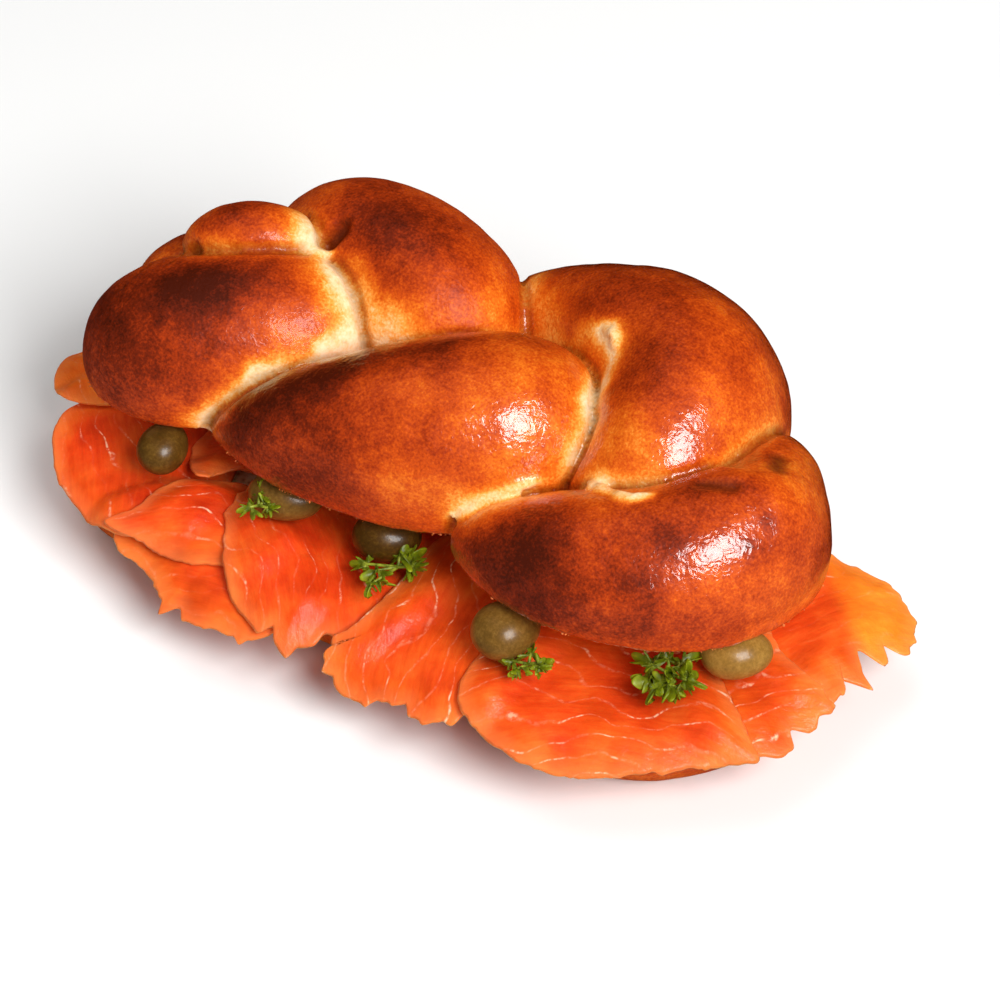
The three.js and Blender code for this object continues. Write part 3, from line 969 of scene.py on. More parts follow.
# Dents and small holes; the crust is also darkened in them as painted shade.
LID_PITS = (
    Pit((-44, 15, 64), (-42, 18, 65.5), 2.6, 3.4, (0.0, 0.5, -1.0)),
    Pit((-71, -3, 61), (-67.5, -1.5, 62.5), 1.8, 1.2, (0.2, 0.6, -1.0)),
    Pit((71, 10, 61.5), (69, 14, 60), 2.4, 0.9, (-0.4, 0.1, -1.0)),
    Pit((61, -4, 63), (67, -2, 64), 2.0, 1.0, (0.0, 0.3, -1.0)),
    Pit((-76, -16.5, 58.5), (-76, -16, 58.5), 0.9, 0.4, (0.3, 0.2, -1.0)),
    Pit((-74.5, -9.5, 59.5), (-74.5, -9, 59.5), 0.9, 0.4, (0.3, 0.2, -1.0)),
    Pit((-69.5, -8, 62), (-69.5, -7.5, 62), 0.9, 0.4, (0.3, 0.2, -1.0)),
    Pit((-75, -12.5, 59.5), (-75, -12, 59.5), 0.9, 0.4, (0.3, 0.2, -1.0)),
)


class Half(Enum):
    """The two halves of the roll."""

    LID = "lid"
    BASE = "base"


@dataclass
class Bread:
    """One half of the plaited roll: its strands grown together, baked and cut through."""

    half: Half
    finish: bpy.types.Material
    voxel: float = 0.7
    smoothings: int = 2
    wobble: float = 0.45
    dimple: float = 0.14
    base_middle: float = 11.0
    base_half_height: float = 13.5
    base_forward: float = 5.5
    base_wider: float = 3.0
    usual_browning: float = 0.625
    seam_paler: float = 0.13
    seam_paler_width: float = 6.0
    groove: float = 1.1
    groove_width: float = 2.2
    ragged_seam: float = 0.32
    crease_shade_width: float = 2.4
    pore_depth: float = 0.35

    def strands(self) -> dict[Lobe, Strand]:
        """Gives this half's strands, the lower ones pressed flat and wide."""
        if self.half is Half.LID:
            return {lobe: Strand(knots, LID_CUT[0]) for lobe, knots in PLAIT.items()}
        return {
            lobe: Strand(
                tuple(
                    (x, y - self.base_forward, self.base_middle, w + self.base_wider, self.base_half_height)
                    for x, y, _, w, _ in knots
                )
            )
            for lobe, knots in PLAIT.items()
            if lobe is not Lobe.TAIL
        }

    def cuts(self) -> list[tuple[Vector, Vector]]:
        """Gives the planes that bound this half, each as a point and the direction that is cut away."""
        height, slope = LID_CUT if self.half is Half.LID else BASE_CUT
        upward = Vector((0.0, math.sin(slope), math.cos(slope)))
        plane = (Vector((0.0, FRONT_Y, height)), -upward if self.half is Half.LID else upward)
        if self.half is Half.LID:
            return [plane]
        return [plane, (Vector((0.0, 0.0, 0.0)), Vector((0.0, 0.0, -1.0)))]

    def grow(self) -> tuple[bpy.types.Mesh, list[BVHTree], list[Lobe | None]]:
        """Joins the strands, cut and torn, into one skin of even facets.

        Returns:
            The mesh, a search tree for each strand and tear that shows, and the strands in the same order.
        """
        whole = bmesh.new()
        trees, lobes = [], []
        tears = [Strand(knots, LID_CUT[0]) for knots in LID_TEARS] if self.half is Half.LID else []
        for lobe, strand in [*self.strands().items(), *((None, tear) for tear in tears)]:
            bm = strand.skin() if lobe else strand.skin(32, 16)
            if lobe is not Lobe.HEART:
                trees.append(BVHTree.FromBMesh(bm))
                lobes.append(lobe)
            for point, away in self.cuts():
                everything = [*bm.verts, *bm.edges, *bm.faces]
                found = bmesh.ops.bisect_plane(
                    bm, geom=everything, plane_co=point, plane_no=away, clear_outer=True
                )
                rim = [g for g in found["geom_cut"] if isinstance(g, bmesh.types.BMEdge)]
                if rim:
                    bmesh.ops.holes_fill(bm, edges=rim, sides=0)
            put_into(whole, bm)
        return self.remesh(as_mesh(whole, "dough")), trees, lobes

    def remesh(self, raw: bpy.types.Mesh) -> bpy.types.Mesh:
        """Fuses overlapping closed skins into one and keeps its outer surface.

        Args:
            raw: The skins in one mesh, which is removed.

        Returns:
            The fused mesh, with even facets.
        """
        dough = bpy.data.objects.new("dough", raw)
        bpy.context.scene.collection.objects.link(dough)
        knead = dough.modifiers.new("knead", "REMESH")
        knead.mode = "VOXEL"
        knead.voxel_size = self.voxel
        even = bpy.data.meshes.new_from_object(dough.evaluated_get(bpy.context.evaluated_depsgraph_get()))
        bpy.data.objects.remove(dough)
        bpy.data.meshes.remove(raw)
        bm = bmesh.new()
        bm.from_mesh(even)
        self.drop_inner_shells(bm)
        for _ in range(self.smoothings):
            bmesh.ops.smooth_vert(
                bm, verts=bm.verts, factor=0.5, use_axis_x=True, use_axis_y=True, use_axis_z=True
            )
        bm.to_mesh(even)
        bm.free()
        return even

    @staticmethod
    def drop_inner_shells(bm: bmesh.types.BMesh) -> None:
        """Deletes every separate shell but the largest."""
        unseen = set(bm.verts)
        shells = []
        while unseen:
            shell, front = set(), [unseen.pop()]
            while front:
                vert = front.pop()
                shell.add(vert)
                near = {edge.other_vert(vert) for edge in vert.link_edges} & unseen
                unseen -= near
                front.extend(near)
            shells.append(shell)
        shells.sort(key=len)
        bmesh.ops.delete(bm, geom=[v for shell in shells[:-1] for v in shell], context="VERTS")

    def build(self) -> bpy.types.Object:
        """Makes the half, shapes its surface, and works out how each place baked."""
        mesh, trees, lobes = self.grow()
        places, normals = surface(mesh)
        count = len(places)
        spans = np.array([[tree.find_nearest(Vector(p))[3] for tree in trees] for p in places.tolist()])
        strands = [turn for turn, lobe in enumerate(lobes) if lobe]
        owners = np.argmin(spans, axis=1)
        ordered = np.sort(spans[:, strands], axis=1)
        seam = ordered[:, 1] - ordered[:, 0]
        torn = np.zeros(count)
        if len(strands) < len(lobes):
            torn = 1.0 - smoothstep(np.min(spans[:, len(strands) :], axis=1) - ordered[:, 0], -0.2, 0.6)
        point, away = self.cuts()[0]
        rise = (places - np.array(point)) @ -np.array(away)
        facing = normals @ np.array(away)
        crumb = smoothstep(facing, 0.55, 0.85) * (1.0 - smoothstep(rise, 0.8, 1.6))

        wide, middling, small = ripple(places, 17.0, 3.7), ripple(places, 7.0, 11.3), ripple(places, 3.0, 7.1)
        browning = np.full(count, self.usual_browning)
        browning -= self.seam_paler * (1.0 - smoothstep(seam, 0.0, self.seam_paler_width))
        browning += 0.12 * wide + 0.08 * middling
        if self.half is Half.LID:
            uneven = 0.22 * middling + 0.22 * small
            for bake in LID_BAKES:
                browning += bake.apply(places, owners, lobes, uneven)
        else:
            browning -= 0.12 * (1.0 - smoothstep(places[:, 2], 4.0, 15.0))
        browning = np.maximum(browning, 0.08 + 0.06 * small)
        browning += torn * (0.16 + 0.12 * small - browning)
        # Painted shade in the seams between strands and in the dents; the crust's colour darkens there.
        crease = (1.0 - smoothstep(seam, 0.0, self.crease_shade_width)) ** 2 * (1.0 - torn)
        if self.half is Half.LID:
            for pit in LID_PITS:
                crease = np.maximum(crease, self.hollow(places, pit))
        crease = evened(mesh, crease * (1.0 - crumb), 4)
        browning = evened(mesh, browning, 3)

        push = self.wobble * ripple(places, 15.0, 1.3) + self.dimple * ripple(places, 4.0, 5.1)
        push -= self.groove * (1.0 - smoothstep(seam, 0.0, self.groove_width)) * (1.0 - torn)
        push += self.ragged_seam * (1.0 - smoothstep(seam, 0.5, 3.5)) * ripple(places, 1.9, 3.3)
        push += torn * (0.45 * ripple(places, 1.9, 2.7) + 0.35 * small)
        ragged = (1.0 - smoothstep(rise, 0.0, 1.6)) * (1.0 - crumb)
        push += ragged * (0.35 * ripple(places, 1.6, 8.8) - 0.1)
        push *= 1.0 - crumb
        push -= crumb * (0.25 + self.pore_depth * np.abs(ripple(places, 2.2, 6.2)))
        if self.half is Half.BASE:
            push *= smoothstep(places[:, 2], 0.5, 3.0)
        even_normals = evened(mesh, normals, 8)
        even_normals /= np.linalg.norm(even_normals, axis=1)[:, None] + 1e-6
        shaped = places + even_normals * evened(mesh, push, 1)[:, None]
        if self.half is Half.LID:
            for pit in LID_PITS:
                shaped += self.pressed(places, pit)
        places = shaped
        places[:, 2] = np.maximum(places[:, 2], 0.0)
        mesh.vertices.foreach_set("co", places.ravel())
        keep(mesh, "browning", np.clip(browning, 0.0, 1.05))
        keep(mesh, "crumb", np.maximum(crumb, 0.4 * (1.0 - smoothstep(browning, 0.12, 0.24))))
        keep(mesh, "crease", crease)
        keep(mesh, "wash", self.washed(owners, lobes))
        node = f"bread_{self.half.value}"
        return serve(mesh, f"{node}_crust", self.finish, "crust", node)

    def washed(self, owners: np.ndarray, lobes: list[Lobe | None]) -> np.ndarray:
        """Gives how thickly the egg wash lies on each vertex's strand.

        Args:
            owners: The number of the strand that each vertex is nearest to.
            lobes: The strands by number.

        Returns:
            An amount for each vertex, 1 where it is thickest.
        """
        amounts = [LID_WASH.get(lobe, 0.2) if self.half is Half.LID else 0.4 for lobe in lobes]
        return np.array(amounts)[owners]

    @staticmethod
    def hollow(places: np.ndarray, pit: Pit) -> np.ndarray:
        """Gives how far inside a dent each vertex is, from 0 outside to 1 in its middle."""
        return 1.0 - smoothstep(to_line(places, pit.start, pit.end), 0.2 * pit.width, 1.3 * pit.width)

    def pressed(self, places: np.ndarray, pit: Pit) -> np.ndarray:
        """Gives how far a dent presses each vertex, and which way."""
        return self.hollow(places, pit)[:, None] * pit.depth * np.array(pit.way) / np.linalg.norm(pit.way)


@dataclass(frozen=True)
class Slice:
    """One slice of salmon, seen from above.

    Attributes:
        name: The solid that it stands for.
        outline: Corners of its outline, joined by a smooth curve.
        grain: Which way its muscle runs, in degrees.
        warmth: How yellow it is.
        torn: How ragged its edge is.
        notches: Places on the outline, how deep the edge is torn in there (out if negative) and how wide.
        fat: How many of its white lines show.
        yellow_line: Two points of a line; to the right of it the slice is yellow.
    """

    name: str
    outline: tuple[tuple[float, float], ...]
    grain: float = 0.0
    warmth: float = 0.0
    torn: float = 0.5
    notches: tuple[tuple[float, float, float, float], ...] = ()
    fat: float = 0.35
    yellow_line: tuple[float, float, float, float] | None = None


SLICES = (
    Slice(
        "salmon_back_left",
        ((-82, 4), (-78, 20), (-64, 35), (-46, 46), (-26, 47), (-20, 30), (-28, 6), (-50, -4), (-72, -2)),
        20,
    ),
    Slice(
        "salmon_back_middle",
        ((-34, 8), (-33, 30), (-26, 47), (-4, 50), (18, 53), (24, 34), (20, 8), (0, 0), (-20, 0)),
        -10,
    ),
    Slice(
        "salmon_back_right",
        ((12, 6), (14, 36), (22, 52), (42, 54), (58, 46), (69, 34), (72, 14), (56, 0), (32, -2)),
        35,
    ),
    Slice(
        "salmon_right_end",
        (
            (77, 29), (85, 32), (92, 31), (98, 26), (100, 16), (97, 5),
            (97, -1), (92, -5), (82, -5), (70, -4), (58, 6), (62, 22),
        ),
        60,
        0.1,
        0.9,
        (
            (100, 14, 4.0, 2.6), (101, 10, -2.0, 1.8), (98, 7.5, 5.5, 3.0), (97, 3, -3.5, 2.0),
            (96.5, 0, 5.0, 2.4), (94, -4, -3.0, 2.0), (99, 18, -1.5, 2.0),
        ),
        0.2,
        (95.7, 6.1, 75.3, 24.9),
    ),
    Slice(
        "salmon_right_side",
        (
            (70, 6), (78, 0), (85, -4), (94, -6), (97, -9), (95, -16),
            (94, -22), (90, -26), (82, -27), (72, -22), (60, -10),
        ),
        40,
        0.15,
        0.8,
        ((96, -11, 3.0, 2.2), (94.5, -17, 3.0, 2.4), (93, -20, -2.0, 1.8), (96, -8, -1.5, 1.6)),
        0.6,
    ),
    Slice(
        "salmon_left_under",
        (
            (-59, -45), (-56, -49), (-48, -50), (-41, -54), (-33, -56),
            (-25, -55), (-16, -53), (-13, -46), (-20, -36), (-50, -33),
        ),
        10,
        0.1,
        0.6,
        ((-39, -55, -3.0, 2.2), (-36, -55, 2.0, 2.4), (-20, -54, -2.0, 1.8)),
    ),
    Slice(
        "salmon_left_large",
        (
            (-80, -10), (-89, -22), (-88, -29), (-84, -35), (-78, -41), (-70, -45),
            (-62, -48), (-52, -46), (-45, -37), (-46, -20), (-56, -8), (-70, -4),
        ),
        -50,
        0.0,
        0.3,
    ),
    Slice(
        "salmon_left_over",
        (
            (-60, -48), (-56, -43), (-54, -34), (-51, -28), (-44, -23), (-33, -20),
            (-26, -28), (-26, -41), (-33, -45), (-40, -47), (-50, -48),
        ),
        25,
        0.0,
        0.4,
    ),
    Slice(
        "salmon_left_tuck",
        ((-57, -20), (-49, -29), (-45, -23), (-37, -16), (-34, -8), (-46, -4), (-56, -10)),
        20,
    ),
    Slice(
        "salmon_left_fold",
        (
            (-84, 0), (-95, -2), (-101, -7), (-98, -16), (-91, -22),
            (-82, -20), (-74, -14), (-70, -4), (-75, 4),
        ),
        -35,
        # Partly painted light: its warmth is raised to lighten it where the upper half shades it.
        0.35,
        0.2,
    ),
    Slice(
        "salmon_middle_left",
        (
            (-38, -20), (-39, -31), (-35, -39), (-30, -46), (-25, -50), (-17, -53), (-10, -53),
            (-4, -49), (5, -40), (9, -27), (8, -12), (-8, -4), (-26, -6),
        ),
        -40,
        0.0,
        0.5,
        ((-14, -53, 2.6, 2.6), (-9, -53, -2.4, 2.2), (-3, -47, 3.0, 3.0), (-38, -30, 1.5, 3.0)),
    ),
    Slice(
        "salmon_middle_right",
        (
            (3, -14), (3, -32), (1, -44), (-2, -49), (1, -52), (6, -55), (15, -53),
            (26, -54), (33, -50), (35, -38), (36, -22), (24, -8), (10, -5),
        ),
        100,
        0.1,
        0.8,
        (
            (-2, -49, 2.5, 2.4), (1, -52, -2.0, 2.0), (12, -54, -2.2, 2.2),
            (20, -54, 2.0, 2.6), (31, -51, -2.4, 2.2),
        ),
        0.9,
    ),
    Slice(
        "salmon_right_large",
        (
            (24, -20), (28, -33), (29, -44), (32, -50), (37, -52), (45, -53), (53, -53), (62, -50),
            (71, -44), (81, -36), (91, -28), (88, -26), (79, -19), (66, -10), (50, -5), (34, -8),
        ),
        25,
        0.05,
        0.6,
        (),
        0.75,
    ),
)


@dataclass
class SalmonPile:
    """The slices of salmon, laid in turn on the lower half and draped over one another."""

    finish: bpy.types.Material
    base: Bread
    thickness: float = 2.1
    taper: float = 7.5
    edge_share: float = 0.26
    edge_round: float = 0.5
    pitch: float = 2.4
    lift: float = 1.8
    ramp: float = 6.0
    bed_ripple: float = 0.25
    bed_waves: tuple[float, float] = (45.0, 38.0)
    heaves: tuple[tuple[float, float, float], ...] = ((0.30, 8.0, 0.6), (0.16, 3.4, 4.2), (0.06, 1.4, 2.9))
    hang_softness: float = 7.0
    hang_rate: float = 0.5
    around: int = 300
    inward: int = 22

    def __post_init__(self) -> None:
        """Works out the lower half seen from above and the torn outlines."""
        discs = []
        for strand in self.base.strands().values():
            table = np.array(strand.knots, float)
            shares = np.linspace(0.0, 1.0, 25)
            row = spline(table[:, [0, 1, 3]], shares)
            full = np.sqrt(np.maximum(0.0, 1.0 - np.abs(2.0 * shares - 1.0) ** BLUNTNESS))
            discs.append(np.column_stack([row[:, :2], row[:, 2] * full]))
        self.discs = np.vstack(discs)
        self.outlines = [self.tear(piece, turn) for turn, piece in enumerate(SLICES)]

    def tear(self, piece: Slice, turn: int) -> np.ndarray:
        """Draws a slice's outline with its torn edge.

        Args:
            piece: The slice.
            turn: Its place in the pile, which picks its tears.

        Returns:
            Evenly spaced points of the outline.
        """
        corners = np.array(piece.outline, float)
        fine = spline(corners, np.linspace(0.0, 1.0, 1200, endpoint=False), closed=True)
        steps = np.linalg.norm(np.roll(fine, -1, axis=0) - fine, axis=1)
        run = np.concatenate([[0.0], np.cumsum(steps)])
        wanted = np.linspace(0.0, run[-1], self.around, endpoint=False)
        ring = np.vstack([fine, fine[:1]])
        even = np.column_stack([np.interp(wanted, run, ring[:, k]) for k in (0, 1)])
        forward = np.roll(even, -1, axis=0) - np.roll(even, 1, axis=0)
        outward = np.column_stack([forward[:, 1], -forward[:, 0]])
        outward /= np.linalg.norm(outward, axis=1)[:, None]
        middle = even.mean(axis=0)
        outward *= np.sign(np.sum(outward * (even - middle), axis=1).mean())
        flat = np.column_stack([even, np.full(len(even), 9.0 * turn)])
        where = 0.5 + 0.5 * ripple(flat, 14.0, 2.2)
        jag = piece.torn * (0.8 * ripple(flat, 3.2, 4.4) + 0.7 * where * ripple(flat, 1.3, 7.9))
        jag += 3.2 * piece.torn * np.maximum(ripple(flat, 2.6, 6.1) - 0.40, 0.0)
        for notch_x, notch_y, depth, width in piece.notches:
            away = np.hypot(even[:, 0] - notch_x, even[:, 1] - notch_y)
            jag -= depth * np.maximum(0.0, 1.0 - away / width) ** 1.3
        return even + outward * jag[:, None]

    @staticmethod
    def depth_inside(outline: np.ndarray, x: np.ndarray, y: np.ndarray) -> np.ndarray:
        """Measures how deep inside an outline places are.

        Args:
            outline: Points of the outline; every third is used.
            x: Each place's x.
            y: Each place's y.

        Returns:
            The distance to the outline, negative outside it.
        """
        thin = outline[::3]
        ahead = np.roll(thin, -1, axis=0)
        nearest = np.full(x.shape, np.inf)
        inside = np.zeros(x.shape, bool)
        for (ax, ay), (bx, by) in zip(thin, ahead):
            dx, dy = bx - ax, by - ay
            share = np.clip(((x - ax) * dx + (y - ay) * dy) / (dx * dx + dy * dy), 0.0, 1.0)
            nearest = np.minimum(nearest, np.hypot(x - ax - share * dx, y - ay - share * dy))
            if dy:
                inside ^= ((ay > y) != (by > y)) & (x < ax + (y - ay) * dx / dy)
        return np.where(inside, nearest, -nearest)

    def bed(self, x: np.ndarray, y: np.ndarray) -> np.ndarray:
        """Works out what the lowest slices lie on: the cut face and, past it, the air in which they hang.

        Args:
            x: Each place's x.
            y: Each place's y.

        Returns:
            Its height at each place.
        """
        gaps = [np.hypot(x - cx, y - cy) - radius for cx, cy, radius in self.discs]
        past = np.maximum(0.0, np.min(gaps, axis=0))
        along, across = (2.0 * math.pi / wave for wave in self.bed_waves)
        wave = 2.0 + np.sin(along * (x + 0.6 * y)) + np.sin(across * (y - 0.4 * x))
        drop = self.hang_rate * past * past / (past + self.hang_softness)
        height, slope = BASE_CUT
        return height - math.tan(slope) * (y - FRONT_Y) + GAP + self.bed_ripple * wave - drop

    def underside(self, turn: int, x: np.ndarray, y: np.ndarray) -> np.ndarray:
        """Raises the bed under a slice by each earlier slice that lies there.

        Args:
            turn: The slice's place in the pile.
            x: Each place's x.
            y: Each place's y.

        Returns:
            The height of the slice's underside at each place.
        """
        height = self.bed(x, y)
        for outline in self.outlines[:turn]:
            depth = self.depth_inside(outline, x, y)
            height = height + self.pitch * smoothstep(depth, -self.lift - self.ramp, -self.lift)
        return height

    def lay(self, turn: int) -> bpy.types.Object:
        """Makes one slice: a ball pressed flat between its outline, its bed and its own thickness.

        Args:
            turn: The slice's place in the pile.

        Returns:
            The finished slice.
        """
        piece, outline = SLICES[turn], self.outlines[turn]
        bm = bmesh.new()
        bmesh.ops.create_uvsphere(bm, u_segments=self.around, v_segments=2 * self.inward, radius=1.0)
        unit = coordinates(bm)
        turns = (np.arctan2(unit[:, 1], unit[:, 0]) / (2.0 * math.pi)) % 1.0
        steps = np.arcsin(np.clip(np.abs(unit[:, 2]), 0.0, 1.0)) / (math.pi / 2.0)
        share = 1.0 - steps**1.35
        smooth = self.relaxed(outline)
        middle = smooth.mean(axis=0)
        spot = (np.round(turns * self.around).astype(int)) % self.around
        torn_part = smoothstep(share, 0.55, 1.0)[:, None]
        rim = smooth[spot] * (1.0 - torn_part) + outline[spot] * torn_part
        flat = middle + (rim - middle) * share[:, None]
        x, y = flat[:, 0], flat[:, 1]
        edge = np.maximum(self.depth_inside(outline, x, y), 0.0)
        edge[share > 0.9999] = 0.0
        rounding = np.sqrt(1.0 - (1.0 - np.clip(edge / self.edge_round, 0.0, 1.0)) ** 2)
        thinning = self.edge_share + (1.0 - self.edge_share) * smoothstep(edge, 0.0, self.taper)
        body = self.thickness * thinning * rounding
        top = unit[:, 2] > 0.0
        low = self.underside(turn, x, y) + 0.12 * (self.thickness - body)
        flow = np.column_stack([flat, np.full(len(flat), 13.0 * turn)])
        heave = sum(amount * ripple(flow, size, pick) for amount, size, pick in self.heaves)
        height = np.where(top, low + body + heave * smoothstep(edge, 0.0, 3.0), low)
        move_to(bm, np.column_stack([flat, height]))
        turn_outward(bm)
        mesh = as_mesh(bm, piece.name)
        turned = math.radians(piece.grain)
        along = x * math.cos(turned) + y * math.sin(turned)
        across = -x * math.sin(turned) + y * math.cos(turned) + 0.006 * (along - along.mean()) ** 2
        keep(mesh, "muscle", np.column_stack([along + 40.0 * turn, across, height * 0.3]))
        keep(mesh, "edge", np.minimum(edge, 12.0))
        keep(mesh, "warmth", self.warmth_of(piece, flow, edge))
        keep(mesh, "fat", np.full(len(flat), piece.fat))
        return serve(mesh, f"{piece.name}_slice", self.finish, "salmon", piece.name)

    @staticmethod
    def warmth_of(piece: Slice, flow: np.ndarray, edge: np.ndarray) -> np.ndarray:
        """Gives how yellow each vertex is: more in the yellow part, and along the thin edge as painted light
        through the thin flesh.

        Args:
            piece: The slice.
            flow: The vertices' places from above.
            edge: How deep inside the outline each is.

        Returns:
            A value from 0, red, to 1, yellow.
        """
        warmth = piece.warmth + 0.15 * ripple(flow, 12.0, 1.9) + 0.16 * (1.0 - smoothstep(edge, 0.0, 9.0))
        if piece.yellow_line:
            from_x, from_y, to_x, to_y = piece.yellow_line
            across = (to_y - from_y) * (flow[:, 0] - from_x) - (to_x - from_x) * (flow[:, 1] - from_y)
            warmth += 0.7 * smoothstep(across / math.hypot(to_x - from_x, to_y - from_y), -2.0, 3.0)
        return np.clip(warmth, 0.0, 1.0)

    @staticmethod
    def relaxed(outline: np.ndarray) -> np.ndarray:
        """Evens out an outline's tears.

        Args:
            outline: Its points.

        Returns:
            As many points, without the tears.
        """
        smooth = outline
        for _ in range(60):
            smooth = 0.5 * smooth + 0.25 * (np.roll(smooth, 1, axis=0) + np.roll(smooth, -1, axis=0))
        return smooth

    def build(self) -> list[bpy.types.Object]:
        """Lays every slice in turn."""
        return [self.lay(turn) for turn in range(len(SLICES))]


@dataclass(frozen=True)
class Olive:
    """One olive: half sizes along, across and up, its turn from above in degrees, and how tan it is."""

    name: str
    along: float
    across: float
    up: float
    turn: float
    ripeness: float
    taper: float = 0.09
    uneven: float = 0.02

    def build(self, finish: bpy.types.Material) -> bpy.types.Object:
        """Makes the olive: an egg with a blunt stalk end, slightly uneven.

        Args:
            finish: The skin's material.

        Returns:
            The finished olive.
        """
        low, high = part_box(self.name)
        centre = np.array((low + high) / 2) / MM - SHIFT
        bm = bmesh.new()
        bmesh.ops.create_uvsphere(bm, u_segments=72, v_segments=48, radius=1.0)
        bmesh.ops.rotate(bm, verts=bm.verts, matrix=Matrix.Rotation(math.pi / 2.0, 3, "Y"))
        unit = coordinates(bm)
        long_axis = 0 if self.along >= self.across else 1
        shape = unit * (self.along, self.across, self.up)
        for axis in {0, 1, 2} - {long_axis}:
            shape[:, axis] *= 1.0 - self.taper * unit[:, long_axis]
        shape *= 1.0 + self.uneven * ripple(unit, 0.9, self.turn)[:, None]
        move_to(bm, shape)
        bmesh.ops.rotate(bm, verts=bm.verts, matrix=Matrix.Rotation(math.radians(self.turn), 3, "Z"))
        bmesh.ops.translate(bm, verts=bm.verts, vec=Vector(centre))
        turn_outward(bm)
        mesh = as_mesh(bm, self.name)
        keep(mesh, "ripeness", np.full(len(mesh.vertices), self.ripeness))
        return serve(mesh, f"{self.name}_skin", finish, "olive", self.name)


OLIVES = (
    Olive("olive_1", 5.3, 6.6, 5.1, 10, 0.1),
    Olive("olive_2", 8.2, 5.8, 5.1, 20, 0.3),
    Olive("olive_3", 7.4, 5.8, 5.2, 30, 0.0),
    Olive("olive_4", 6.6, 7.6, 5.6, -25, 0.35),
    Olive("olive_5", 7.6, 6.0, 5.1, 35, 0.85),
)


@dataclass(frozen=True)
class Leaflet:
    """One frilly leaflet: its direction and slope in degrees, its stalk's length, its size and its roll."""

    heading: float
    slope: float
    stalk: float
    size: float
    roll: float = 0.0


@dataclass(frozen=True)
class Sprig:
    """A sprig of curly parsley: leaflets on thin stalks from one point over its solid."""

    name: str
    offset: tuple[float, float, float]
    leaflets: tuple[Leaflet, ...]
    leaf_thickness: float = 0.28
    stalk_radius: float = 0.4
    fingers: int = 11
    tooth_depth: float = 0.62
    lobe_depth: float = 0.34
    across: int = 88
    along: int = 7
    fan: float = 250.0

    def leaf(self, leaflet: Leaflet, seed: int) -> bmesh.types.BMesh:
        """Makes one leaflet along +X: a toothed, ruffled fan with a thickness.

        Args:
            leaflet: Sizes of the leaflet.
            seed: Picks its ruffles.

        Returns:
            A new bmesh in millimetres.
        """
        bm = bmesh.new()
        bmesh.ops.create_grid(bm, x_segments=self.across, y_segments=self.along, size=0.5)
        grid = coordinates(bm)
        angle = grid[:, 0] * math.radians(self.fan)
        reach = 0.06 + 0.94 * (grid[:, 1] + 0.5)
        tooth = np.abs(np.cos(angle / math.radians(self.fan) * math.pi * self.fingers + seed)) ** 0.7
        lobe = self.lobe_depth * (1.0 - np.cos(3.0 * angle))
        toothed = 1.0 - self.tooth_depth * reach**2 * (1.0 - tooth)
        radius = leaflet.size * reach * (1.0 - reach * lobe) * toothed
        spot = np.column_stack([angle * 2.0, reach, np.full(len(angle), 3.7 * seed)])
        ruffle = 0.34 * leaflet.size * reach**1.5 * np.sin(5.5 * angle + seed)
        ruffle += 0.14 * leaflet.size * reach * ripple(spot, 0.5)
        curl = 0.22 * leaflet.size * reach**2
        move_to(bm, np.column_stack([radius * np.cos(angle), radius * np.sin(angle), ruffle - curl]))
        # How far out on the leaflet each vertex is, which the leaf's colour uses for painted light and shade.
        layer = bm.verts.layers.float.new("outward")
        for vert in bm.verts:
            vert[layer] = min(1.0, vert.co.length / leaflet.size)
        bmesh.ops.solidify(bm, geom=bm.faces[:], thickness=self.leaf_thickness)
        return bm

    def stalk(self, length: float) -> bmesh.types.BMesh:
        """Makes a thin stalk along +X, slightly thicker at its foot.

        Args:
            length: The stalk's length.

        Returns:
            A new bmesh in millimetres.
        """
        bm = bmesh.new()
        bmesh.ops.create_cone(
            bm,
            cap_ends=True,
            segments=8,
            radius1=self.stalk_radius,
            radius2=0.7 * self.stalk_radius,
            depth=length,
            matrix=Matrix.Translation((length / 2.0, 0.0, 0.0)) @ Matrix.Rotation(math.pi / 2.0, 4, "Y"),
        )
        bmesh.ops.bevel(
            bm,
            geom=[e for e in bm.edges if e.calc_face_angle(0.0) > 1.0],
            offset=0.15,
            segments=2,
            affect="EDGES",
            profile=0.5,
            material=-1,
        )
        # Stalks take the painted shade of the leaflets' middles.
        layer = bm.verts.layers.float.new("outward")
        for vert in bm.verts:
            vert[layer] = 0.0
        return bm

    def build(self, finish: bpy.types.Material) -> bpy.types.Object:
        """Puts the leaflets on their stalks round the sprig's point.

        Args:
            finish: The leaf's material.

        Returns:
            The finished sprig.
        """
        low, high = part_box(self.name)
        centre = Vector((low + high) / 2) / MM - Vector(SHIFT) + Vector(self.offset)
        whole = bmesh.new()
        for seed, leaflet in enumerate(self.leaflets):
            pose = (
                Matrix.Translation(centre)
                @ Matrix.Rotation(math.radians(leaflet.heading), 4, "Z")
                @ Matrix.Rotation(-math.radians(leaflet.slope), 4, "Y")
            )
            rolled = Matrix.Rotation(math.radians(leaflet.roll), 4, "X")
            tip = Matrix.Translation((leaflet.stalk, 0.0, 0.0)) @ rolled
            parts = ((self.leaf(leaflet, seed), pose @ tip), (self.stalk(leaflet.stalk + 0.5), pose))
            for bm, place in parts:
                bmesh.ops.transform(bm, matrix=place, verts=bm.verts)
                turn_outward(bm)
                put_into(whole, bm)
        return serve(as_mesh(whole, self.name), f"{self.name}_sprig", finish, "parsley", self.name)


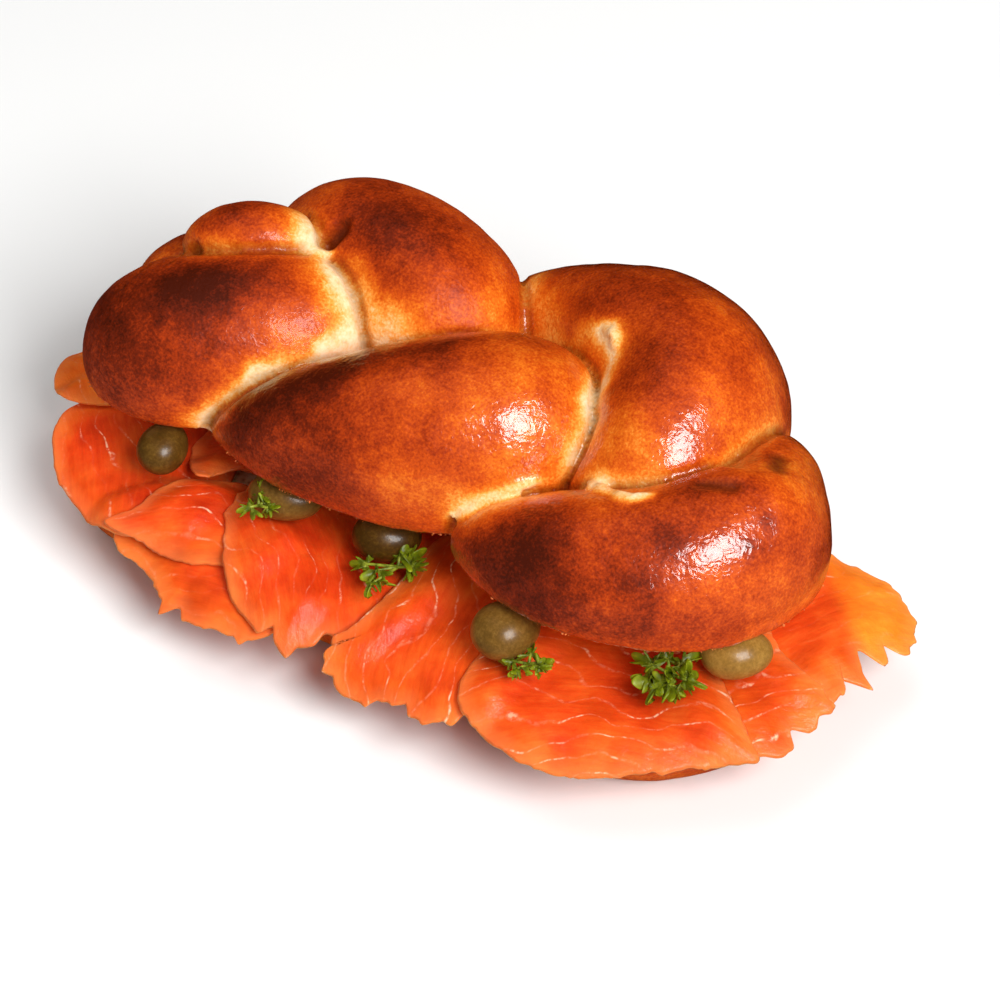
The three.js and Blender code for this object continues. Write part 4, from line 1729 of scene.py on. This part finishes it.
SPRIGS = (
    Sprig(
        "parsley_1",
        (1.5, 1.0, 0.0),
        (
            Leaflet(60, 20, 2.5, 4.2, 30),
            Leaflet(120, 30, 2.2, 3.9, -40),
            Leaflet(10, 10, 1.8, 3.4, 60),
            Leaflet(240, 15, 1.6, 3.4, -20),
        ),
    ),
    Sprig(
        "parsley_2",
        (-1.0, 2.0, 0.3),
        (
            Leaflet(60, 25, 2.2, 5.0, 20),
            Leaflet(110, 40, 1.8, 4.8, -30),
            Leaflet(20, 15, 3.0, 4.0, 50),
            Leaflet(230, 5, 4.0, 4.4, 20),
            Leaflet(205, 0, 6.5, 4.2, -20),
            Leaflet(255, 0, 6.0, 4.0, 30),
        ),
    ),
    Sprig(
        "parsley_3",
        (-1.5, 0.5, 0.2),
        (
            Leaflet(200, 5, 3.0, 3.4, 10),
            Leaflet(250, 10, 2.4, 3.2, 40),
            Leaflet(30, 20, 2.4, 3.2, -30),
            Leaflet(350, 25, 3.0, 3.0, 50),
            Leaflet(110, 30, 2.0, 3.0, 10),
        ),
    ),
    Sprig(
        "parsley_4",
        (0.5, 0.5, 0.2),
        (
            Leaflet(270, 5, 3.8, 5.2, 10),
            Leaflet(310, 12, 3.8, 5.0, -25),
            Leaflet(230, 8, 3.8, 5.0, 30),
            Leaflet(350, 18, 4.2, 5.0, 20),
            Leaflet(190, 20, 4.0, 5.0, -20),
            Leaflet(60, 35, 3.0, 4.6, 0),
            Leaflet(130, 35, 3.0, 4.6, 30),
            Leaflet(280, 55, 2.2, 4.2, 60),
            Leaflet(20, 50, 2.2, 4.2, -40),
        ),
    ),
)


@dataclass
class Crumbs:
    """Crumbs that cling to the cut rim of the upper half."""

    finish: bpy.types.Material
    count: int = 110
    smallest: float = 0.12
    largest: float = 0.42
    uneven: float = 0.16
    seed: int = 5

    def build(self, crust: bpy.types.Object) -> bpy.types.Object:
        """Scatters crumbs along the lower edge of a crust.

        Args:
            crust: The finished upper half, in metres.

        Returns:
            One piece with all the crumbs.
        """
        places, normals = surface(crust.data)
        places = places / MM - SHIFT
        height, slope = LID_CUT
        rise = (places[:, 2] - height) * math.cos(slope) + (places[:, 1] - FRONT_Y) * math.sin(slope)
        rim = np.where((rise < 0.9) & (rise > -0.6) & (normals[:, 2] > -0.75) & (normals[:, 2] < 0.1))[0]
        rim = rim[ripple(places[rim], 9.0, 4.1) > 0.12]
        chance = np.random.default_rng(self.seed)
        whole = bmesh.new()
        for spot in chance.choice(rim, self.count):
            size = self.smallest + (self.largest - self.smallest) * chance.random() ** 2.5
            turn = Matrix.Rotation(chance.random() * math.tau, 4, Vector(chance.normal(size=3)).normalized())
            stretch = Matrix.Diagonal((*(size * chance.uniform(0.35, 1.1, 3)), 1.0))
            place = Matrix.Translation(places[spot] + normals[spot] * 0.15)
            placed = place @ turn @ stretch
            made = bmesh.ops.create_icosphere(whole, subdivisions=1, radius=1.0, matrix=placed)
            for vert in made["verts"]:
                vert.co += Vector(chance.normal(size=3)) * self.uneven * size
        crumbs = as_mesh(whole, "crumbs")
        for name, value in (("browning", 0.5), ("crumb", 0.1), ("crease", 0.0), ("wash", 0.0)):
            keep(crumbs, name, np.full(len(crumbs.vertices), value))
        return serve(crumbs, "rim_crumbs", self.finish, "crust")


@dataclass(frozen=True)
class Lamp:
    """A square soft lamp: its direction in degrees, distance and size in millimetres, and power in watts."""

    name: str
    azimuth: float
    elevation: float
    distance: float
    size: float
    power: float
    mirrored: bool = True


@dataclass
class Studio:
    """A pale floor, soft lamps and the camera."""

    azimuth: float = 33.0
    elevation: float = 45.0
    distance: float = 900.0
    aim: tuple[float, float, float] = (11.465, -2.420, 29.726)
    pixels_per_mm: float = 4.7
    picture: int = 1000
    sensor: float = 36.0
    lamps: tuple[Lamp, ...] = (
        Lamp("softbox", 66.0, 44.0, 1400.0, 700.0, 26.0),
        Lamp("front_fill", -25.0, 35.0, 1200.0, 900.0, 1.2, False),
        Lamp("top_fill", -100.0, 70.0, 2000.0, 1600.0, 15.0, False),
    )
    sky: float = 0.16

    def direction(self, azimuth: float, elevation: float) -> Vector:
        """Gives the direction from the object to a place round it, with azimuth 0 towards -Y."""
        a, e = math.radians(azimuth), math.radians(elevation)
        return Vector((math.sin(a) * math.cos(e), -math.cos(a) * math.cos(e), math.sin(e)))

    def target(self) -> Vector:
        """Gives the place that the camera looks at, in metres."""
        return Vector(np.array(self.aim) + SHIFT) * MM

    def build(self) -> None:
        """Sets up the camera, the lamps, the sky and the floor."""
        scene = bpy.context.scene
        scene.view_settings.view_transform = "Standard"
        back = self.direction(self.azimuth, self.elevation)
        right = Vector((0.0, 0.0, 1.0)).cross(back).normalized()
        turn = Matrix((right, back.cross(right), back)).transposed()
        camera = bpy.data.cameras.new("camera")
        camera.sensor_width = self.sensor
        camera.lens = self.sensor * self.pixels_per_mm * self.distance / self.picture
        eye = bpy.data.objects.new("camera", camera)
        eye.matrix_world = Matrix.Translation(self.target() + back * self.distance * MM) @ turn.to_4x4()
        scene.collection.objects.link(eye)
        scene.camera = eye
        for lamp in self.lamps:
            self.hang(lamp)
        world = bpy.data.worlds.new("studio")
        world.use_nodes = True
        world.node_tree.nodes["Background"].inputs["Color"].default_value = linear("#fbfaf8")
        world.node_tree.nodes["Background"].inputs["Strength"].default_value = self.sky
        world.cycles_visibility.glossy = False
        scene.world = world
        self.floor()

    def hang(self, lamp: Lamp) -> None:
        """Hangs one lamp so that it faces the object.

        Args:
            lamp: The lamp; one that isn't mirrored lights the object without showing in its gloss.
        """
        light = bpy.data.lights.new(lamp.name, "AREA")
        light.shape = "SQUARE"
        light.size = lamp.size * MM
        light.energy = lamp.power
        away = self.direction(lamp.azimuth, lamp.elevation)
        hung = bpy.data.objects.new(lamp.name, light)
        turn = away.to_track_quat("Z", "Y").to_matrix().to_4x4()
        hung.matrix_world = Matrix.Translation(self.target() + away * lamp.distance * MM) @ turn
        hung.visible_glossy = lamp.mirrored
        bpy.context.scene.collection.objects.link(hung)

    def floor(self) -> None:
        """Lays a plain pale floor under the object."""
        bm = bmesh.new()
        bmesh.ops.create_grid(bm, x_segments=1, y_segments=1, size=4.0)
        mesh = as_mesh(bm, "floor")
        paint = bpy.data.materials.new("matt_white_table")
        paint.use_nodes = True
        shader = paint.node_tree.nodes["Principled BSDF"]
        shader.inputs["Base Color"].default_value = linear("#f0f0ef")
        shader.inputs["Roughness"].default_value = 0.9
        mesh.materials.append(paint)
        floor = bpy.data.objects.new("floor", mesh)
        floor.visible_glossy = False
        bpy.context.scene.collection.objects.link(floor)


def main() -> None:
    """Builds every piece in order."""
    logging.basicConfig(level=logging.INFO, format="%(name)s %(message)s")
    Studio().build()
    crust = Crust().make()
    lid = Bread(Half.LID, crust).build()
    base = Bread(Half.BASE, crust)
    base.build()
    SalmonPile(SmokedSalmon().make(), base).build()
    olive_skin = OliveSkin().make()
    for olive in OLIVES:
        olive.build(olive_skin)
    leaf = ParsleyLeaf().make()
    for sprig in SPRIGS:
        sprig.build(leaf)
    Crumbs(crust).build(lid)


if __name__ == "__main__":
    main()
